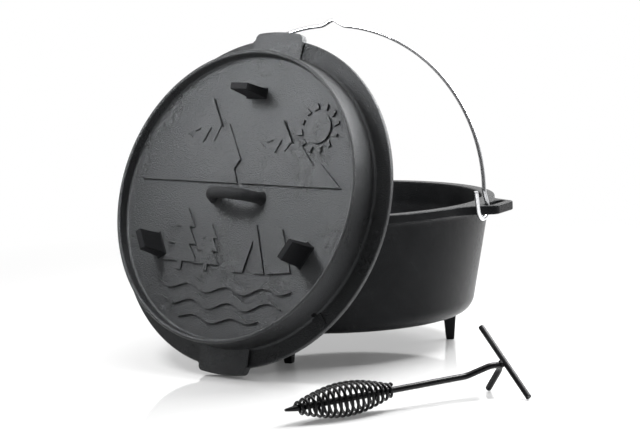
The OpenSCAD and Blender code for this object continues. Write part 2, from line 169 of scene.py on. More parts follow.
class Bench:
    """Modelling moves that the pieces share, made with Blender's own operators."""

    @staticmethod
    def clear() -> None:
        """Goes back to object mode with nothing selected."""
        if bpy.context.mode != "OBJECT":
            bpy.ops.object.mode_set(mode="OBJECT")
        bpy.ops.object.select_all(action="DESELECT")

    @staticmethod
    def pick(piece: Piece) -> None:
        """Makes one piece the only selected and active one.

        Args:
            piece: Piece to pick.
        """
        Bench.clear()
        piece.select_set(True)
        bpy.context.view_layer.objects.active = piece

    @staticmethod
    def named(name: str) -> Piece:
        """Names the piece that was added last.

        Args:
            name: Its new name.

        Returns:
            The piece.
        """
        piece = bpy.context.active_object
        piece.name = name
        return piece

    @staticmethod
    def edit(piece: Piece, everything: bool = True) -> None:
        """Opens a piece in edit mode.

        Args:
            piece: Piece to open.
            everything: Whether all of its mesh is selected, or none of it.
        """
        Bench.pick(piece)
        bpy.ops.object.mode_set(mode="EDIT")
        bpy.ops.mesh.select_all(action="SELECT" if everything else "DESELECT")

    @staticmethod
    def close_up(piece: Piece) -> None:
        """Merges doubles and turns every face outwards.

        Args:
            piece: Piece to close.
        """
        Bench.edit(piece)
        bpy.ops.mesh.remove_doubles(threshold=MERGE)
        bpy.ops.mesh.normals_make_consistent(inside=False)
        Bench.clear()

    @staticmethod
    def chain(name: str, points: Sequence[Point], closed: bool = False) -> Piece:
        """Draws a chain of edges by extruding one vertex from point to point.

        Args:
            name: Name of the new piece.
            points: Places of the vertices in millimetres.
            closed: Whether the last vertex joins the first one.

        Returns:
            The new piece, at the origin.
        """
        Bench.clear()
        bpy.ops.mesh.primitive_plane_add(size=1.0, location=points[0])
        piece = Bench.named(name)
        bpy.ops.object.transform_apply(location=True, rotation=False, scale=False)
        Bench.edit(piece)
        bpy.ops.mesh.merge(type="CENTER")
        for a, b in zip(points, points[1:]):
            step = tuple(Vector(b) - Vector(a))
            bpy.ops.mesh.extrude_vertices_move(TRANSFORM_OT_translate={"value": step})
        Bench.clear()
        if closed:
            piece.data.vertices[0].select = True
            piece.data.vertices[len(points) - 1].select = True
            Bench.pick(piece)
            bpy.ops.object.mode_set(mode="EDIT")
            bpy.ops.mesh.edge_face_add()
            Bench.clear()
        return piece

    @staticmethod
    def spun(name: str, profile: Sequence[Flat], steps: int) -> Piece:
        """Spins a profile of radius and height about the Z axis.

        Args:
            name: Name of the new piece.
            profile: Radius and height of each point, from axis to axis.
            steps: Number of steps round the axis.

        Returns:
            The closed shell.
        """
        piece = Bench.chain(name, [(r, 0.0, z) for r, z in profile])
        Bench.edit(piece)
        bpy.ops.mesh.spin(steps=steps, angle=math.tau, center=(0, 0, 0), axis=(0, 0, 1))
        Bench.close_up(piece)
        return piece

    @staticmethod
    def plate(name: str, outlines: Sequence[Sequence[Flat]], low: float, high: float) -> Piece:
        """Fills closed outlines, the later ones as holes, and raises them to a plate.

        Args:
            name: Name of the new piece.
            outlines: Outer outline and any holes.
            low: Height of the underside.
            high: Height of the top.

        Returns:
            The closed plate.
        """
        loops = []
        for i, outline in enumerate(outlines):
            loops.append(Bench.chain(f"{name}_{i}", [(x, y, low) for x, y in outline], closed=True))
        piece = Bench.joined(name, loops)
        Bench.edit(piece)
        bpy.ops.mesh.fill(use_beauty=True)
        bpy.ops.mesh.select_all(action="SELECT")
        bpy.ops.mesh.extrude_region_move(TRANSFORM_OT_translate={"value": (0, 0, high - low)})
        Bench.close_up(piece)
        return piece

    @staticmethod
    def stacked(name: str, corner: float, rings: Sequence[Point]) -> Piece:
        """Raises a round-cornered rectangle through a stack of sizes and heights.

        Args:
            name: Name of the new piece.
            corner: Radius of the upright corners in millimetres.
            rings: Width, depth and height of each section, from first to last.

        Returns:
            The closed post.
        """
        wide, deep, first = rings[0]
        Bench.clear()
        bpy.ops.mesh.primitive_plane_add(size=1.0, location=(0, 0, first))
        piece = Bench.named(name)
        piece.scale = (wide, deep, 1.0)
        bpy.ops.object.transform_apply(location=True, rotation=False, scale=True)
        Bench.edit(piece)
        bpy.ops.mesh.bevel(offset=corner, segments=5, affect="VERTICES")
        bpy.ops.mesh.select_all(action="SELECT")
        for last, new in zip(rings, rings[1:]):
            bpy.ops.mesh.extrude_region_move(TRANSFORM_OT_translate={"value": (0, 0, new[2] - last[2])})
            grow = (new[0] / last[0], new[1] / last[1], 1.0)
            bpy.ops.transform.resize(value=grow, center_override=(0, 0, new[2]))
        Bench.close_up(piece)
        return piece

    @staticmethod
    def wire(name: str, path: Sequence[Point], radius: float, roundness: int,
             sizes: Callable[[float], float] | None = None) -> Piece:
        """Sweeps round wire along a path and turns it into a closed mesh.

        Args:
            name: Name of the new piece.
            path: Points of the wire's middle line in millimetres.
            radius: Radius of the wire.
            roundness: Bevel resolution of the section.
            sizes: Share of the radius at a distance along the wire, or None for an even wire.

        Returns:
            The closed wire.
        """
        Bench.clear()
        bpy.ops.curve.primitive_nurbs_path_add(location=(0, 0, 0))
        line = Bench.named(name).data
        line.splines.clear()
        spline = line.splines.new("POLY")
        spline.points.add(len(path) - 1)
        along = 0.0
        for i, (knot, place) in enumerate(zip(spline.points, path)):
            along += (Vector(place) - Vector(path[i - 1])).length if i else 0.0
            knot.co = (*place, 1.0)
            knot.radius = sizes(along) if sizes else 1.0
        line.twist_mode = "MINIMUM"
        line.bevel_depth = radius
        line.bevel_resolution = roundness
        line.use_fill_caps = True
        bpy.ops.object.convert(target="MESH")
        piece = bpy.context.active_object
        Bench.close_up(piece)
        return piece

    @staticmethod
    def joined(name: str, parts: Sequence[Piece]) -> Piece:
        """Joins parts into the first of them under a new name.

        Args:
            name: Name of the joined piece.
            parts: Parts to join.

        Returns:
            The joined piece.
        """
        Bench.pick(parts[0])
        for part in parts[1:]:
            part.select_set(True)
        bpy.ops.object.join()
        return Bench.named(name)

    @staticmethod
    def copied(piece: Piece, move: Matrix) -> Piece:
        """Copies a part with its own mesh and moves the copy.

        Args:
            piece: Part to copy.
            move: Placement of the copy.

        Returns:
            The copy, with its place in its mesh.
        """
        Bench.pick(piece)
        bpy.ops.object.duplicate(linked=False)
        twin = bpy.context.active_object
        Bench.moved(twin, move)
        return twin

    @staticmethod
    def moved(piece: Piece, move: Matrix) -> None:
        """Puts a placement into a part's mesh, and turns a mirrored part's faces outwards.

        Args:
            piece: Part to move.
            move: Its placement.
        """
        Bench.pick(piece)
        piece.matrix_world = move
        bpy.ops.object.transform_apply(location=True, rotation=True, scale=True)
        if move.to_3x3().determinant() < 0:
            Bench.close_up(piece)

    @staticmethod
    def modified(piece: Piece, kind: str, **settings: object) -> None:
        """Adds one modifier and applies it.

        Args:
            piece: Piece to change.
            kind: Blender's type name of the modifier.
            settings: Values of the modifier's own options.
        """
        Bench.pick(piece)
        step = piece.modifiers.new(kind.title(), kind)
        for name, value in settings.items():
            setattr(step, name, value)
        bpy.ops.object.modifier_apply(modifier=step.name)

    @staticmethod
    def eased(piece: Piece, width: float, segments: int, angle: float) -> None:
        """Rounds the edges of a part that are sharper than an angle in degrees."""
        Bench.modified(piece, "BEVEL", width=width, segments=segments, limit_method="ANGLE",
                       angle_limit=math.radians(angle), use_clamp_overlap=True, miter_outer="MITER_ARC")

    @staticmethod
    def smoothed(piece: Piece, angle: float = 38.0) -> None:
        """Shades a finished piece smooth and keeps its flats flat.

        Args:
            piece: Piece to shade.
            angle: Angle in degrees past which an edge stays sharp.
        """
        Bench.pick(piece)
        bpy.ops.object.shade_smooth_by_angle(angle=math.radians(angle))
        Bench.modified(piece, "WEIGHTED_NORMAL", keep_sharp=True, weight=50)
        Bench.clear()


def settled(piece: Piece, place: Matrix, body: Body, stands_for: Sequence[str] = ()) -> Piece:
    """Sets a finished piece into the shared frame and hands it to its body.

    Args:
        piece: Finished piece in millimetres in its own frame.
        place: Its placement in millimetres.
        body: Body that it moves with.
        stands_for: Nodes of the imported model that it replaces.

    Returns:
        The same piece.
    """
    Bench.moved(piece, Matrix.Scale(MM, 4) @ place)
    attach(piece, body.value)
    if stands_for:
        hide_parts(*stands_for)
    return piece


class Shading:
    """Small helpers that lay out shader nodes."""

    @staticmethod
    def node(tree: Tree, kind: str, **values: object) -> Node:
        """Adds a node and sets its inputs by name and its options by attribute.

        Args:
            tree: Node tree that gets the node.
            kind: Blender's type name of the node.
            values: Values of inputs, with _ for spaces, or of the node's own options.

        Returns:
            The new node.
        """
        made = tree.nodes.new(kind)
        for key, value in values.items():
            if hasattr(made, key) and key not in made.inputs:
                setattr(made, key, value)
        for key, value in values.items():
            label = key.replace("_", " ")
            if label in made.inputs:
                made.inputs[label].default_value = value
        return made

    @staticmethod
    def feed(tree: Tree, target: Socket, value: Socket | float | Colour) -> None:
        """Gives an input its value.

        Args:
            tree: Node tree of the input.
            target: Input to feed.
            value: Output to link to it, or a constant.
        """
        if isinstance(value, Socket):
            tree.links.new(value, target)
        else:
            target.default_value = value

    @staticmethod
    def worked_out(tree: Tree, operation: str, *terms: Socket | float) -> Socket:
        """Works out a value from others.

        Args:
            tree: Node tree that gets the node.
            operation: Blender's name of the operation.
            terms: Outputs or constants that go into it.

        Returns:
            The result.
        """
        made = Shading.node(tree, "ShaderNodeMath", operation=operation)
        for target, term in zip(made.inputs, terms):
            Shading.feed(tree, target, term)
        return made.outputs[0]

    @staticmethod
    def blend(tree: Tree, share: Socket, low: Socket | Colour, high: Socket | Colour) -> Socket:
        """Mixes two colours.

        Args:
            tree: Node tree that gets the node.
            share: Share of the second colour, from 0 to 1.
            low: First colour.
            high: Second colour.

        Returns:
            The mixed colour.
        """
        made = Shading.node(tree, "ShaderNodeMix", data_type="RGBA")
        factor, first, second, result = made.inputs[0], made.inputs[6], made.inputs[7], made.outputs[2]
        for target, value in ((factor, share), (first, low), (second, high)):
            Shading.feed(tree, target, value)
        return result

    @staticmethod
    def span(tree: Tree, share: Socket, ends: Flat, within: Flat = (0.0, 1.0)) -> Socket:
        """A value that goes from one of the ends to the other as share goes through a range.

        Args:
            tree: Node tree that gets the node.
            share: Value that drives it.
            ends: First and last value.
            within: Range of the share.

        Returns:
            The value.
        """
        low, high = ends
        first, last = within
        made = Shading.node(tree, "ShaderNodeMapRange", From_Min=first, From_Max=last,
                            To_Min=low, To_Max=high)
        tree.links.new(share, made.inputs["Value"])
        return made.outputs["Result"]

    @staticmethod
    def mask(tree: Tree, share: Socket, within: Flat) -> Socket:
        """A mask that rises from 0 to 1 as share goes through a range."""
        return Shading.span(tree, share, (0.0, 1.0), within)

    @staticmethod
    def emboss(tree: Tree, shader: Node, height: Socket, strength: float, depth: float) -> None:
        """Lets a height shade the surface as fine relief.

        Args:
            tree: Node tree that gets the node.
            shader: Shader of the surface.
            height: Height over the surface.
            strength: Share of the relief that shows.
            depth: Depth of the relief in metres.
        """
        bump = Shading.node(tree, "ShaderNodeBump", Strength=strength, Distance=depth)
        tree.links.new(height, bump.inputs["Height"])
        tree.links.new(bump.outputs["Normal"], shader.inputs["Normal"])

    @staticmethod
    def in_view(tree: Tree) -> tuple[Socket, Socket]:
        """Tells what is seen, straight or mirrored, from what only lights other things.

        Args:
            tree: Node tree that gets the nodes.

        Returns:
            Masks of what the camera sees straight, and of all that is seen.
        """
        light = tree.nodes.new("ShaderNodeLightPath").outputs
        straight = light["Is Camera Ray"]
        mirrored_too = Shading.worked_out(tree, "MAXIMUM", straight, light["Is Glossy Ray"])
        return straight, Shading.worked_out(tree, "MAXIMUM", mirrored_too, light["Is Transmission Ray"])

    @staticmethod
    def mixed(tree: Tree, share: Socket, first: Node, second: Node, out: Node) -> None:
        """Mixes two shaders and hands the mix to the output.

        Args:
            tree: Node tree that gets the node.
            share: Share of the second shader.
            first: First shader.
            second: Second shader.
            out: Output node.
        """
        mix = tree.nodes.new("ShaderNodeMixShader")
        for target, value in zip(mix.inputs, (share, first.outputs[0], second.outputs[0])):
            tree.links.new(value, target)
        tree.links.new(mix.outputs[0], out.inputs["Surface"])

    @staticmethod
    def blank(name: str) -> tuple[bpy.types.Material, Node, Socket]:
        """Starts a new material.

        Args:
            name: Name of the material.

        Returns:
            The material, its principled shader and its Object coordinates.
        """
        made = bpy.data.materials.new(name)
        made.use_nodes = True
        shader = next(n for n in made.node_tree.nodes if n.type == "BSDF_PRINCIPLED")
        places = made.node_tree.nodes.new("ShaderNodeTexCoord")
        return made, shader, places.outputs["Object"]


class Skin:
    """Surface effect in one shader node group, which several finishes share."""

    sizes: tuple[str, ...] = ()
    results: tuple[str, ...] = ()

    @classmethod
    @cache
    def group(cls) -> Tree:
        """Lays out the node group, once for each skin.

        Returns:
            The group: a place and grain sizes go in, masks and a height come out.
        """
        tree = bpy.data.node_groups.new(cls.__name__, "ShaderNodeTree")
        tree.interface.new_socket(name="Vector", in_out="INPUT", socket_type="NodeSocketVector")
        for way, names in (("INPUT", cls.sizes), ("OUTPUT", cls.results)):
            for name in names:
                tree.interface.new_socket(name=name, in_out=way, socket_type="NodeSocketFloat")
        start, end = tree.nodes.new("NodeGroupInput"), tree.nodes.new("NodeGroupOutput")
        for name, value in cls.layers(tree, start).items():
            tree.links.new(value, end.inputs[name])
        return tree

    @classmethod
    def layers(cls, tree: Tree, start: Node) -> dict[str, Socket]:
        """Lays out the skin's own nodes and gives its results by name."""
        raise NotImplementedError

    @staticmethod
    def grain(tree: Tree, start: Node, size: str, kind: str = "ShaderNodeTexNoise", **values: float) -> Node:
        """Adds a grain at one of the group's sizes.

        Args:
            tree: The group's node tree.
            start: The group's input node.
            size: Name of the grain size.
            kind: Blender's type name of the texture.
            values: Values of the texture's other inputs.

        Returns:
            The texture node.
        """
        made = Shading.node(tree, kind, **values)
        tree.links.new(start.outputs["Vector"], made.inputs["Vector"])
        tree.links.new(start.outputs[size], made.inputs["Scale"])
        return made


class SandSkin(Skin):
    """Skin that a sand mould leaves on iron: grit, soft swells, pits and oily patches."""

    sizes = ("Grit", "Swell", "Patch")
    results = ("Mottle", "Speck", "Height")
    mottle_range: Flat = (0.32, 0.68)
    speck_range: Flat = (0.35, 0.7)
    pit_range: Flat = (0.0, 0.35)
    swell_share: float = 2.4

    @classmethod
    def layers(cls, tree: Tree, start: Node) -> dict[str, Socket]:
        """Lays out grit, swells, pits and patches.

        Args:
            tree: The group's node tree.
            start: The group's input node.

        Returns:
            The oily mottle, the grit's specks and the height.
        """
        grit = cls.grain(tree, start, "Grit", Detail=3.0, Roughness=0.55)
        swell = cls.grain(tree, start, "Swell", Detail=2.0, Roughness=0.5)
        patch = cls.grain(tree, start, "Patch", Detail=5.0, Roughness=0.62, Distortion=0.4)
        pits = cls.grain(tree, start, "Grit", "ShaderNodeTexVoronoi")
        speck = Shading.mask(tree, grit.outputs["Fac"], cls.speck_range)
        pit = Shading.mask(tree, pits.outputs["Distance"], cls.pit_range)
        sand = Shading.worked_out(tree, "MULTIPLY", speck, pit)
        return {
            "Mottle": Shading.mask(tree, patch.outputs["Fac"], cls.mottle_range),
            "Speck": speck,
            "Height": Shading.worked_out(tree, "MULTIPLY_ADD", swell.outputs["Fac"], cls.swell_share, sand),
        }


class DrawnSkin(Skin):
    """Skin of drawn steel: a fine grain and soft dull patches."""

    sizes = ("Fine", "Broad")
    results = ("Dull", "Height")
    dull_range: Flat = (0.35, 0.68)

    @classmethod
    def layers(cls, tree: Tree, start: Node) -> dict[str, Socket]:
        """Lays out the fine grain and the dull patches.

        Args:
            tree: The group's node tree.
            start: The group's input node.

        Returns:
            The dull patches and the height.
        """
        fine = cls.grain(tree, start, "Fine", Detail=2.0, Roughness=0.5)
        broad = cls.grain(tree, start, "Broad", Detail=4.0, Roughness=0.6)
        dull = Shading.mask(tree, broad.outputs["Fac"], cls.dull_range)
        return {"Dull": dull, "Height": fine.outputs["Fac"]}


@dataclass(frozen=True)
class IronFinish:
    """Seasoned sand-cast iron: near black, with a fine grit and soft oily patches."""

    name: str
    dark: Colour
    light: Colour
    smooth: float
    rough: float
    gloss: float
    patch: float = 16.0
    relief: float = 1.0
    grit: float = 1150.0
    swell: float = 620.0
    speck_share: float = 0.35
    dull_range: Flat = (0.0, 1.3)
    depth: float = 0.0003
    sheen: Colour = (0.93, 0.965, 1.0, 1.0)

    def material(self) -> bpy.types.Material:
        """Lays out the material.

        Returns:
            The new material.
        """
        made, shader, places = Shading.blank(self.name)
        tree = made.node_tree
        skin = Shading.node(tree, "ShaderNodeGroup", node_tree=SandSkin.group(),
                            Grit=self.grit, Swell=self.swell, Patch=self.patch)
        tree.links.new(places, skin.inputs["Vector"])
        mottle, speck = skin.outputs["Mottle"], skin.outputs["Speck"]
        dull = Shading.worked_out(tree, "MULTIPLY_ADD", speck, self.speck_share, mottle)
        looks = {
            "Base Color": Shading.blend(tree, mottle, self.dark, self.light),
            "Roughness": Shading.span(tree, dull, (self.smooth, self.rough), self.dull_range),
            "Specular IOR Level": self.gloss,
            "Specular Tint": self.sheen,
        }
        for name, value in looks.items():
            Shading.feed(tree, shader.inputs[name], value)
        Shading.emboss(tree, shader, skin.outputs["Height"], self.relief, self.depth)
        return made


@dataclass(frozen=True)
class WireFinish:
    """Drawn steel, plated or blackened, dulled in patches."""

    name: str
    bright: Colour
    dull: Colour
    metal: float
    smooth: float
    rough: float
    gloss: float
    relief: float
    fine: float = 1600.0
    broad: float = 60.0
    depth: float = 0.0001

    def material(self) -> bpy.types.Material:
        """Lays out the material.

        Returns:
            The new material.
        """
        made, shader, places = Shading.blank(self.name)
        tree = made.node_tree
        skin = Shading.node(tree, "ShaderNodeGroup", node_tree=DrawnSkin.group(),
                            Fine=self.fine, Broad=self.broad)
        tree.links.new(places, skin.inputs["Vector"])
        looks = {
            "Base Color": Shading.blend(tree, skin.outputs["Dull"], self.bright, self.dull),
            "Roughness": Shading.span(tree, skin.outputs["Dull"], (self.smooth, self.rough)),
            "Metallic": self.metal,
            "Specular IOR Level": self.gloss,
        }
        for name, value in looks.items():
            Shading.feed(tree, shader.inputs[name], value)
        Shading.emboss(tree, shader, skin.outputs["Height"], self.relief, self.depth)
        return made


POT_IRON = IronFinish(
    "seasoned_pot_iron", dark=(0.006, 0.0062, 0.0066, 1.0), light=(0.013, 0.0133, 0.014, 1.0),
    smooth=0.21, rough=0.31, gloss=0.09, relief=0.4)
# Lighter, glossier copy of the pot's iron for its inside: painted light that brightens the inside of the pot
LIT_LINING = IronFinish(
    "painted_light_inside_iron", dark=(0.015, 0.0155, 0.0165, 1.0), light=(0.033, 0.034, 0.036, 1.0),
    smooth=0.30, rough=0.46, gloss=0.25, patch=22.0, relief=0.6)
LID_IRON = IronFinish(
    "seasoned_lid_iron", dark=(0.005, 0.0051, 0.0054, 1.0), light=(0.011, 0.0112, 0.0117, 1.0),
    smooth=0.24, rough=0.36, gloss=0.87, patch=11.0)
RING_IRON = replace(LID_IRON, name="satin_ring_iron", gloss=0.5)
LEG_IRON = IronFinish(
    "dull_leg_iron", dark=(0.006, 0.006, 0.007, 1.0), light=(0.012, 0.012, 0.013, 1.0),
    smooth=0.6, rough=0.75, gloss=0.2)
LOOP_IRON = IronFinish(
    "worn_loop_iron", dark=(0.006, 0.0062, 0.0066, 1.0), light=(0.014, 0.0143, 0.015, 1.0),
    smooth=0.42, rough=0.56, gloss=0.25, patch=40.0)
PLATED = WireFinish(
    "plated_bail_wire", bright=(0.80, 0.805, 0.82, 1.0), dull=(0.66, 0.665, 0.68, 1.0),
    metal=0.84, smooth=0.12, rough=0.22, gloss=0.5, relief=0.03)
BLACK = WireFinish(
    "black_lifter_steel", bright=(0.003, 0.003, 0.0034, 1.0), dull=(0.008, 0.008, 0.009, 1.0),
    metal=0.0, smooth=0.16, rough=0.28, gloss=0.2, relief=0.12)


def two_finishes(piece: Piece, main_one: IronFinish, other: IronFinish,
                 takes_other: Callable[[Face], bool]) -> None:
    """Gives a casting two finishes.

    Args:
        piece: Casting in its own frame.
        main_one: Finish of most of it.
        other: Finish of the rest.
        takes_other: Tells whether a face takes the other finish.
    """
    for finish in (main_one, other):
        piece.data.materials.append(finish.material())
    for face in piece.data.polygons:
        face.material_index = int(takes_other(face))


@dataclass
class PotCasting:
    """Iron pot on three feet, with a rim band and two slotted ears."""

    # Shell, with the rings that keep its broad faces even
    place: Point = (-64.4, 127.2, 0.0)
    rim_height: float = 176.7
    rim_radius: float = 190.0
    mouth_radius: float = 174.4
    mouth_ease: float = 3.0
    band_height: float = 10.2
    wall_radius: float = 183.0
    wall_draft: float = 10.5
    wall_thickness: float = 5.6
    wall_rings: tuple[float, ...] = (75.0, 95.0, 115.0, 135.0, 150.0)
    # Bend under the band: its start below the band, its corner and its end as steps from wall and band
    fillet_drop: float = 6.0
    fillet_corner: Flat = (1.0, 0.2)
    fillet_end: Flat = (3.4, 0.1)
    # Bottom, inside and out
    foot_height: float = 37.1
    floor_thickness: float = 6.0
    floor_rings: tuple[float, ...] = (110.0, 55.0, 0.0)
    corner_radius: float = 22.8
    inner_corner: float = 18.0
    bottom_radius: float = 140.055
    bottom_rings: tuple[float, ...] = (0.0, 60.0, 115.0)
    edge: float = 1.7
    # Ears, which spread into the rim by an angle in radians
    ear_reach: float = 221.0
    ear_thickness: float = 10.5
    ear_corner: float = 10.0
    ear_half_edge: float = 18.0
    ear_flank: float = 30.0
    ear_bend: float = 9.0
    ear_spread: float = 0.085
    ear_meet: float = 3.5
    ear_inset: float = 0.6
    ear_seat: float = 6.5
    ear_drop: float = 0.02
    ear_edge: float = 1.5
    slot_centre: float = 204.8
    slot_width: float = 13.5
    slot_length: float = 48.0
    # Feet, with their growth and height at the root, and their growth and height at the tip
    foot_circle: float = 132.6
    foot_top: float = 15.0
    foot_tip: float = 9.0
    foot_corner: float = 3.2
    foot_flare: tuple[Flat, ...] = ((1.75, 40.5), (1.5, 37.3), (1.28, 36.2), (1.12, 34.8), (1.0, 32.0))
    foot_end: tuple[Flat, ...] = ((0.6, 2.0), (0.0, 0.7), (-1.0, 0.15), (-2.0, 0.0))
    foot_angles: tuple[float, ...] = (30.0, 150.0, 270.0)
    # Lining, which takes walls that face the axis and floors that face up, in a lighter, glossier iron that
    # is painted light inside the pot
    lining_margin: float = 0.1
    lining_level: float = 0.7
    steps: int = 288
    finish: IronFinish = POT_IRON
    lining: IronFinish = LIT_LINING

    @property
    def band_low(self) -> float:
        """Height of the rim band's underside."""
        return self.rim_height - self.band_height

    @property
    def floor_top(self) -> float:
        """Height of the cooking floor."""
        return self.foot_height + self.floor_thickness

    def placement(self) -> Matrix:
        """Placement of the pot's own frame, in millimetres."""
        return Matrix.Translation(self.place)

    def wall_at(self, z: float) -> float:
        """Outer radius of the drafted wall at a height."""
        return self.wall_radius - (self.band_low - z) * math.tan(math.radians(self.wall_draft))

    def inner_at(self, z: float) -> float:
        """Inner radius of the drafted wall at a height."""
        return self.wall_at(z) - self.wall_thickness

    def profile(self) -> list[Flat]:
        """Section of the pot from the middle of its underside round to the middle of its cooking floor.

        Returns:
            Radius and height of each point.
        """
        slope, round_in, e = math.radians(self.wall_draft), self.inner_corner, self.edge
        low, top, bottom, floor = self.band_low, self.rim_height, self.foot_height, self.floor_top
        inner_x = self.inner_at(floor + round_in * (1 - math.sin(slope))) - round_in * math.cos(slope)
        under = low - self.fillet_drop
        heel = (self.wall_at(low - self.fillet_corner[0]), low - self.fillet_corner[1])
        ledge = (self.wall_radius + self.fillet_end[0], low - self.fillet_end[1])
        throat = low - (self.inner_at(low) - self.mouth_radius) / math.tan(slope)
        mouth = (self.mouth_radius, throat)
        mouth_high = (self.mouth_radius, throat + self.mouth_ease)
        mouth_low = (self.inner_at(throat - self.mouth_ease), throat - self.mouth_ease)
        corner = (self.bottom_radius, bottom + self.corner_radius)
        return [
            *((r, bottom) for r in self.bottom_rings),
            *arc(corner, self.corner_radius, -90, -self.wall_draft, steps=16),
            *((self.wall_at(z), z) for z in self.wall_rings),
            *bow((self.wall_at(under), under), heel, ledge, steps=8),
            *arc((self.rim_radius - e, low + e), e, -90, 0, steps=6),
            *arc((self.rim_radius - e, top - e), e, 0, 90, steps=6),
            *arc((self.mouth_radius + e, top - e), e, 90, 180, steps=6),
            *bow(mouth_high, mouth, mouth_low, steps=4),
            *arc((inner_x, floor + round_in), round_in, -self.wall_draft, -90, steps=14),
            *((r, floor) for r in self.floor_rings),
        ]

    def ear_outline(self) -> list[Flat]:
        """Outline of the right ear, with soft bends where it leaves the rim.

        Returns:
            The closed outline, counter-clockwise.
        """
        flank, corner = math.radians(self.ear_flank), self.ear_corner
        middle = (self.ear_reach - corner, self.ear_half_edge)
        start = (middle[0] + corner * math.sin(flank), middle[1] + corner * math.cos(flank))
        meet_x = self.rim_radius - self.ear_meet
        meet = (meet_x, start[1] + (start[0] - meet_x) * math.tan(flank))
        along = (meet[0] + self.ear_bend, meet[1] - self.ear_bend * math.tan(flank))
        spread = math.atan2(meet[1], meet[0]) + self.ear_spread
        rim = self.rim_radius - self.ear_inset
        root = (rim * math.cos(spread), rim * math.sin(spread))
        upper = [*arc(middle, corner, 0, 90 - self.ear_flank, steps=8), *bow(along, meet, root)]
        wide = math.degrees(spread)
        inner = arc((0.0, 0.0), self.rim_radius - self.ear_seat, wide, -wide, steps=16)
        return [*upper, *inner, *mirrored(upper)]

    def slot_outline(self) -> list[Flat]:
        """Outline of the bail's slot, a long hole with round ends.

        Returns:
            The closed outline.
        """
        half = (self.slot_length - self.slot_width) / 2
        radius = self.slot_width / 2
        far = arc((self.slot_centre, half), radius, 0, 180, steps=14)
        near = arc((self.slot_centre, -half), radius, 180, 360, steps=14)
        return [*far, *near]

    def ear(self) -> Piece:
        """Raises the ear from its outline and eases its edges.

        Returns:
            The right ear.
        """
        high = self.rim_height - self.ear_drop
        piece = Bench.plate("ear", [self.ear_outline(), self.slot_outline()], high - self.ear_thickness, high)
        Bench.eased(piece, self.ear_edge, segments=4, angle=50.0)
        return piece

    def foot(self) -> Piece:
        """Raises one foot from a flared root down to an eased tip.

        Returns:
            The foot, on the X axis.
        """
        sizes = [(self.foot_top * grow, z) for grow, z in self.foot_flare]
        sizes += [(self.foot_tip + more, z) for more, z in self.foot_end]
        piece = Bench.stacked("foot", self.foot_corner, [(size, size, z) for size, z in sizes])
        Bench.moved(piece, Matrix.Translation((self.foot_circle, 0.0, 0.0)))
        return piece

    def build(self) -> Piece:
        """Makes the shell, ears and feet and joins them.

        Returns:
            The pot in its own frame.
        """
        shell = Bench.spun("pot_casting", self.profile(), self.steps)
        right = self.ear()
        left = Bench.copied(right, Matrix.Scale(-1.0, 4, (1, 0, 0)))
        first = self.foot()
        feet = [Bench.copied(first, turned(angle)) for angle in self.foot_angles[1:]]
        Bench.moved(first, turned(self.foot_angles[0]))
        return Bench.joined("pot_casting", [shell, right, left, first, *feet])

    def is_inside(self, face: Face) -> bool:
        """Whether a face lines the pot, from the cooking floor up to the mouth's edge.

        Args:
            face: Face of the pot in its own frame.

        Returns:
            True for a face of the lining.
        """
        spot, margin = face.center, self.lining_margin
        within = spot.xy.length < self.mouth_radius + margin and spot.z > self.floor_top - margin
        return within and (face.normal.z > self.lining_level or face.normal.xy.dot(spot.xy) < 0)

    def dress(self, piece: Piece) -> list[Piece]:
        """Shades the pot, gives it its iron outside and a lighter iron inside as painted light, and hands it
        to its body.

        Args:
            piece: Pot in its own frame.

        Returns:
            The dressed pot.
        """
        two_finishes(piece, self.finish, self.lining, self.is_inside)
        Bench.smoothed(piece)
        return [settled(piece, self.placement(), Body.POT, ["pot"])]


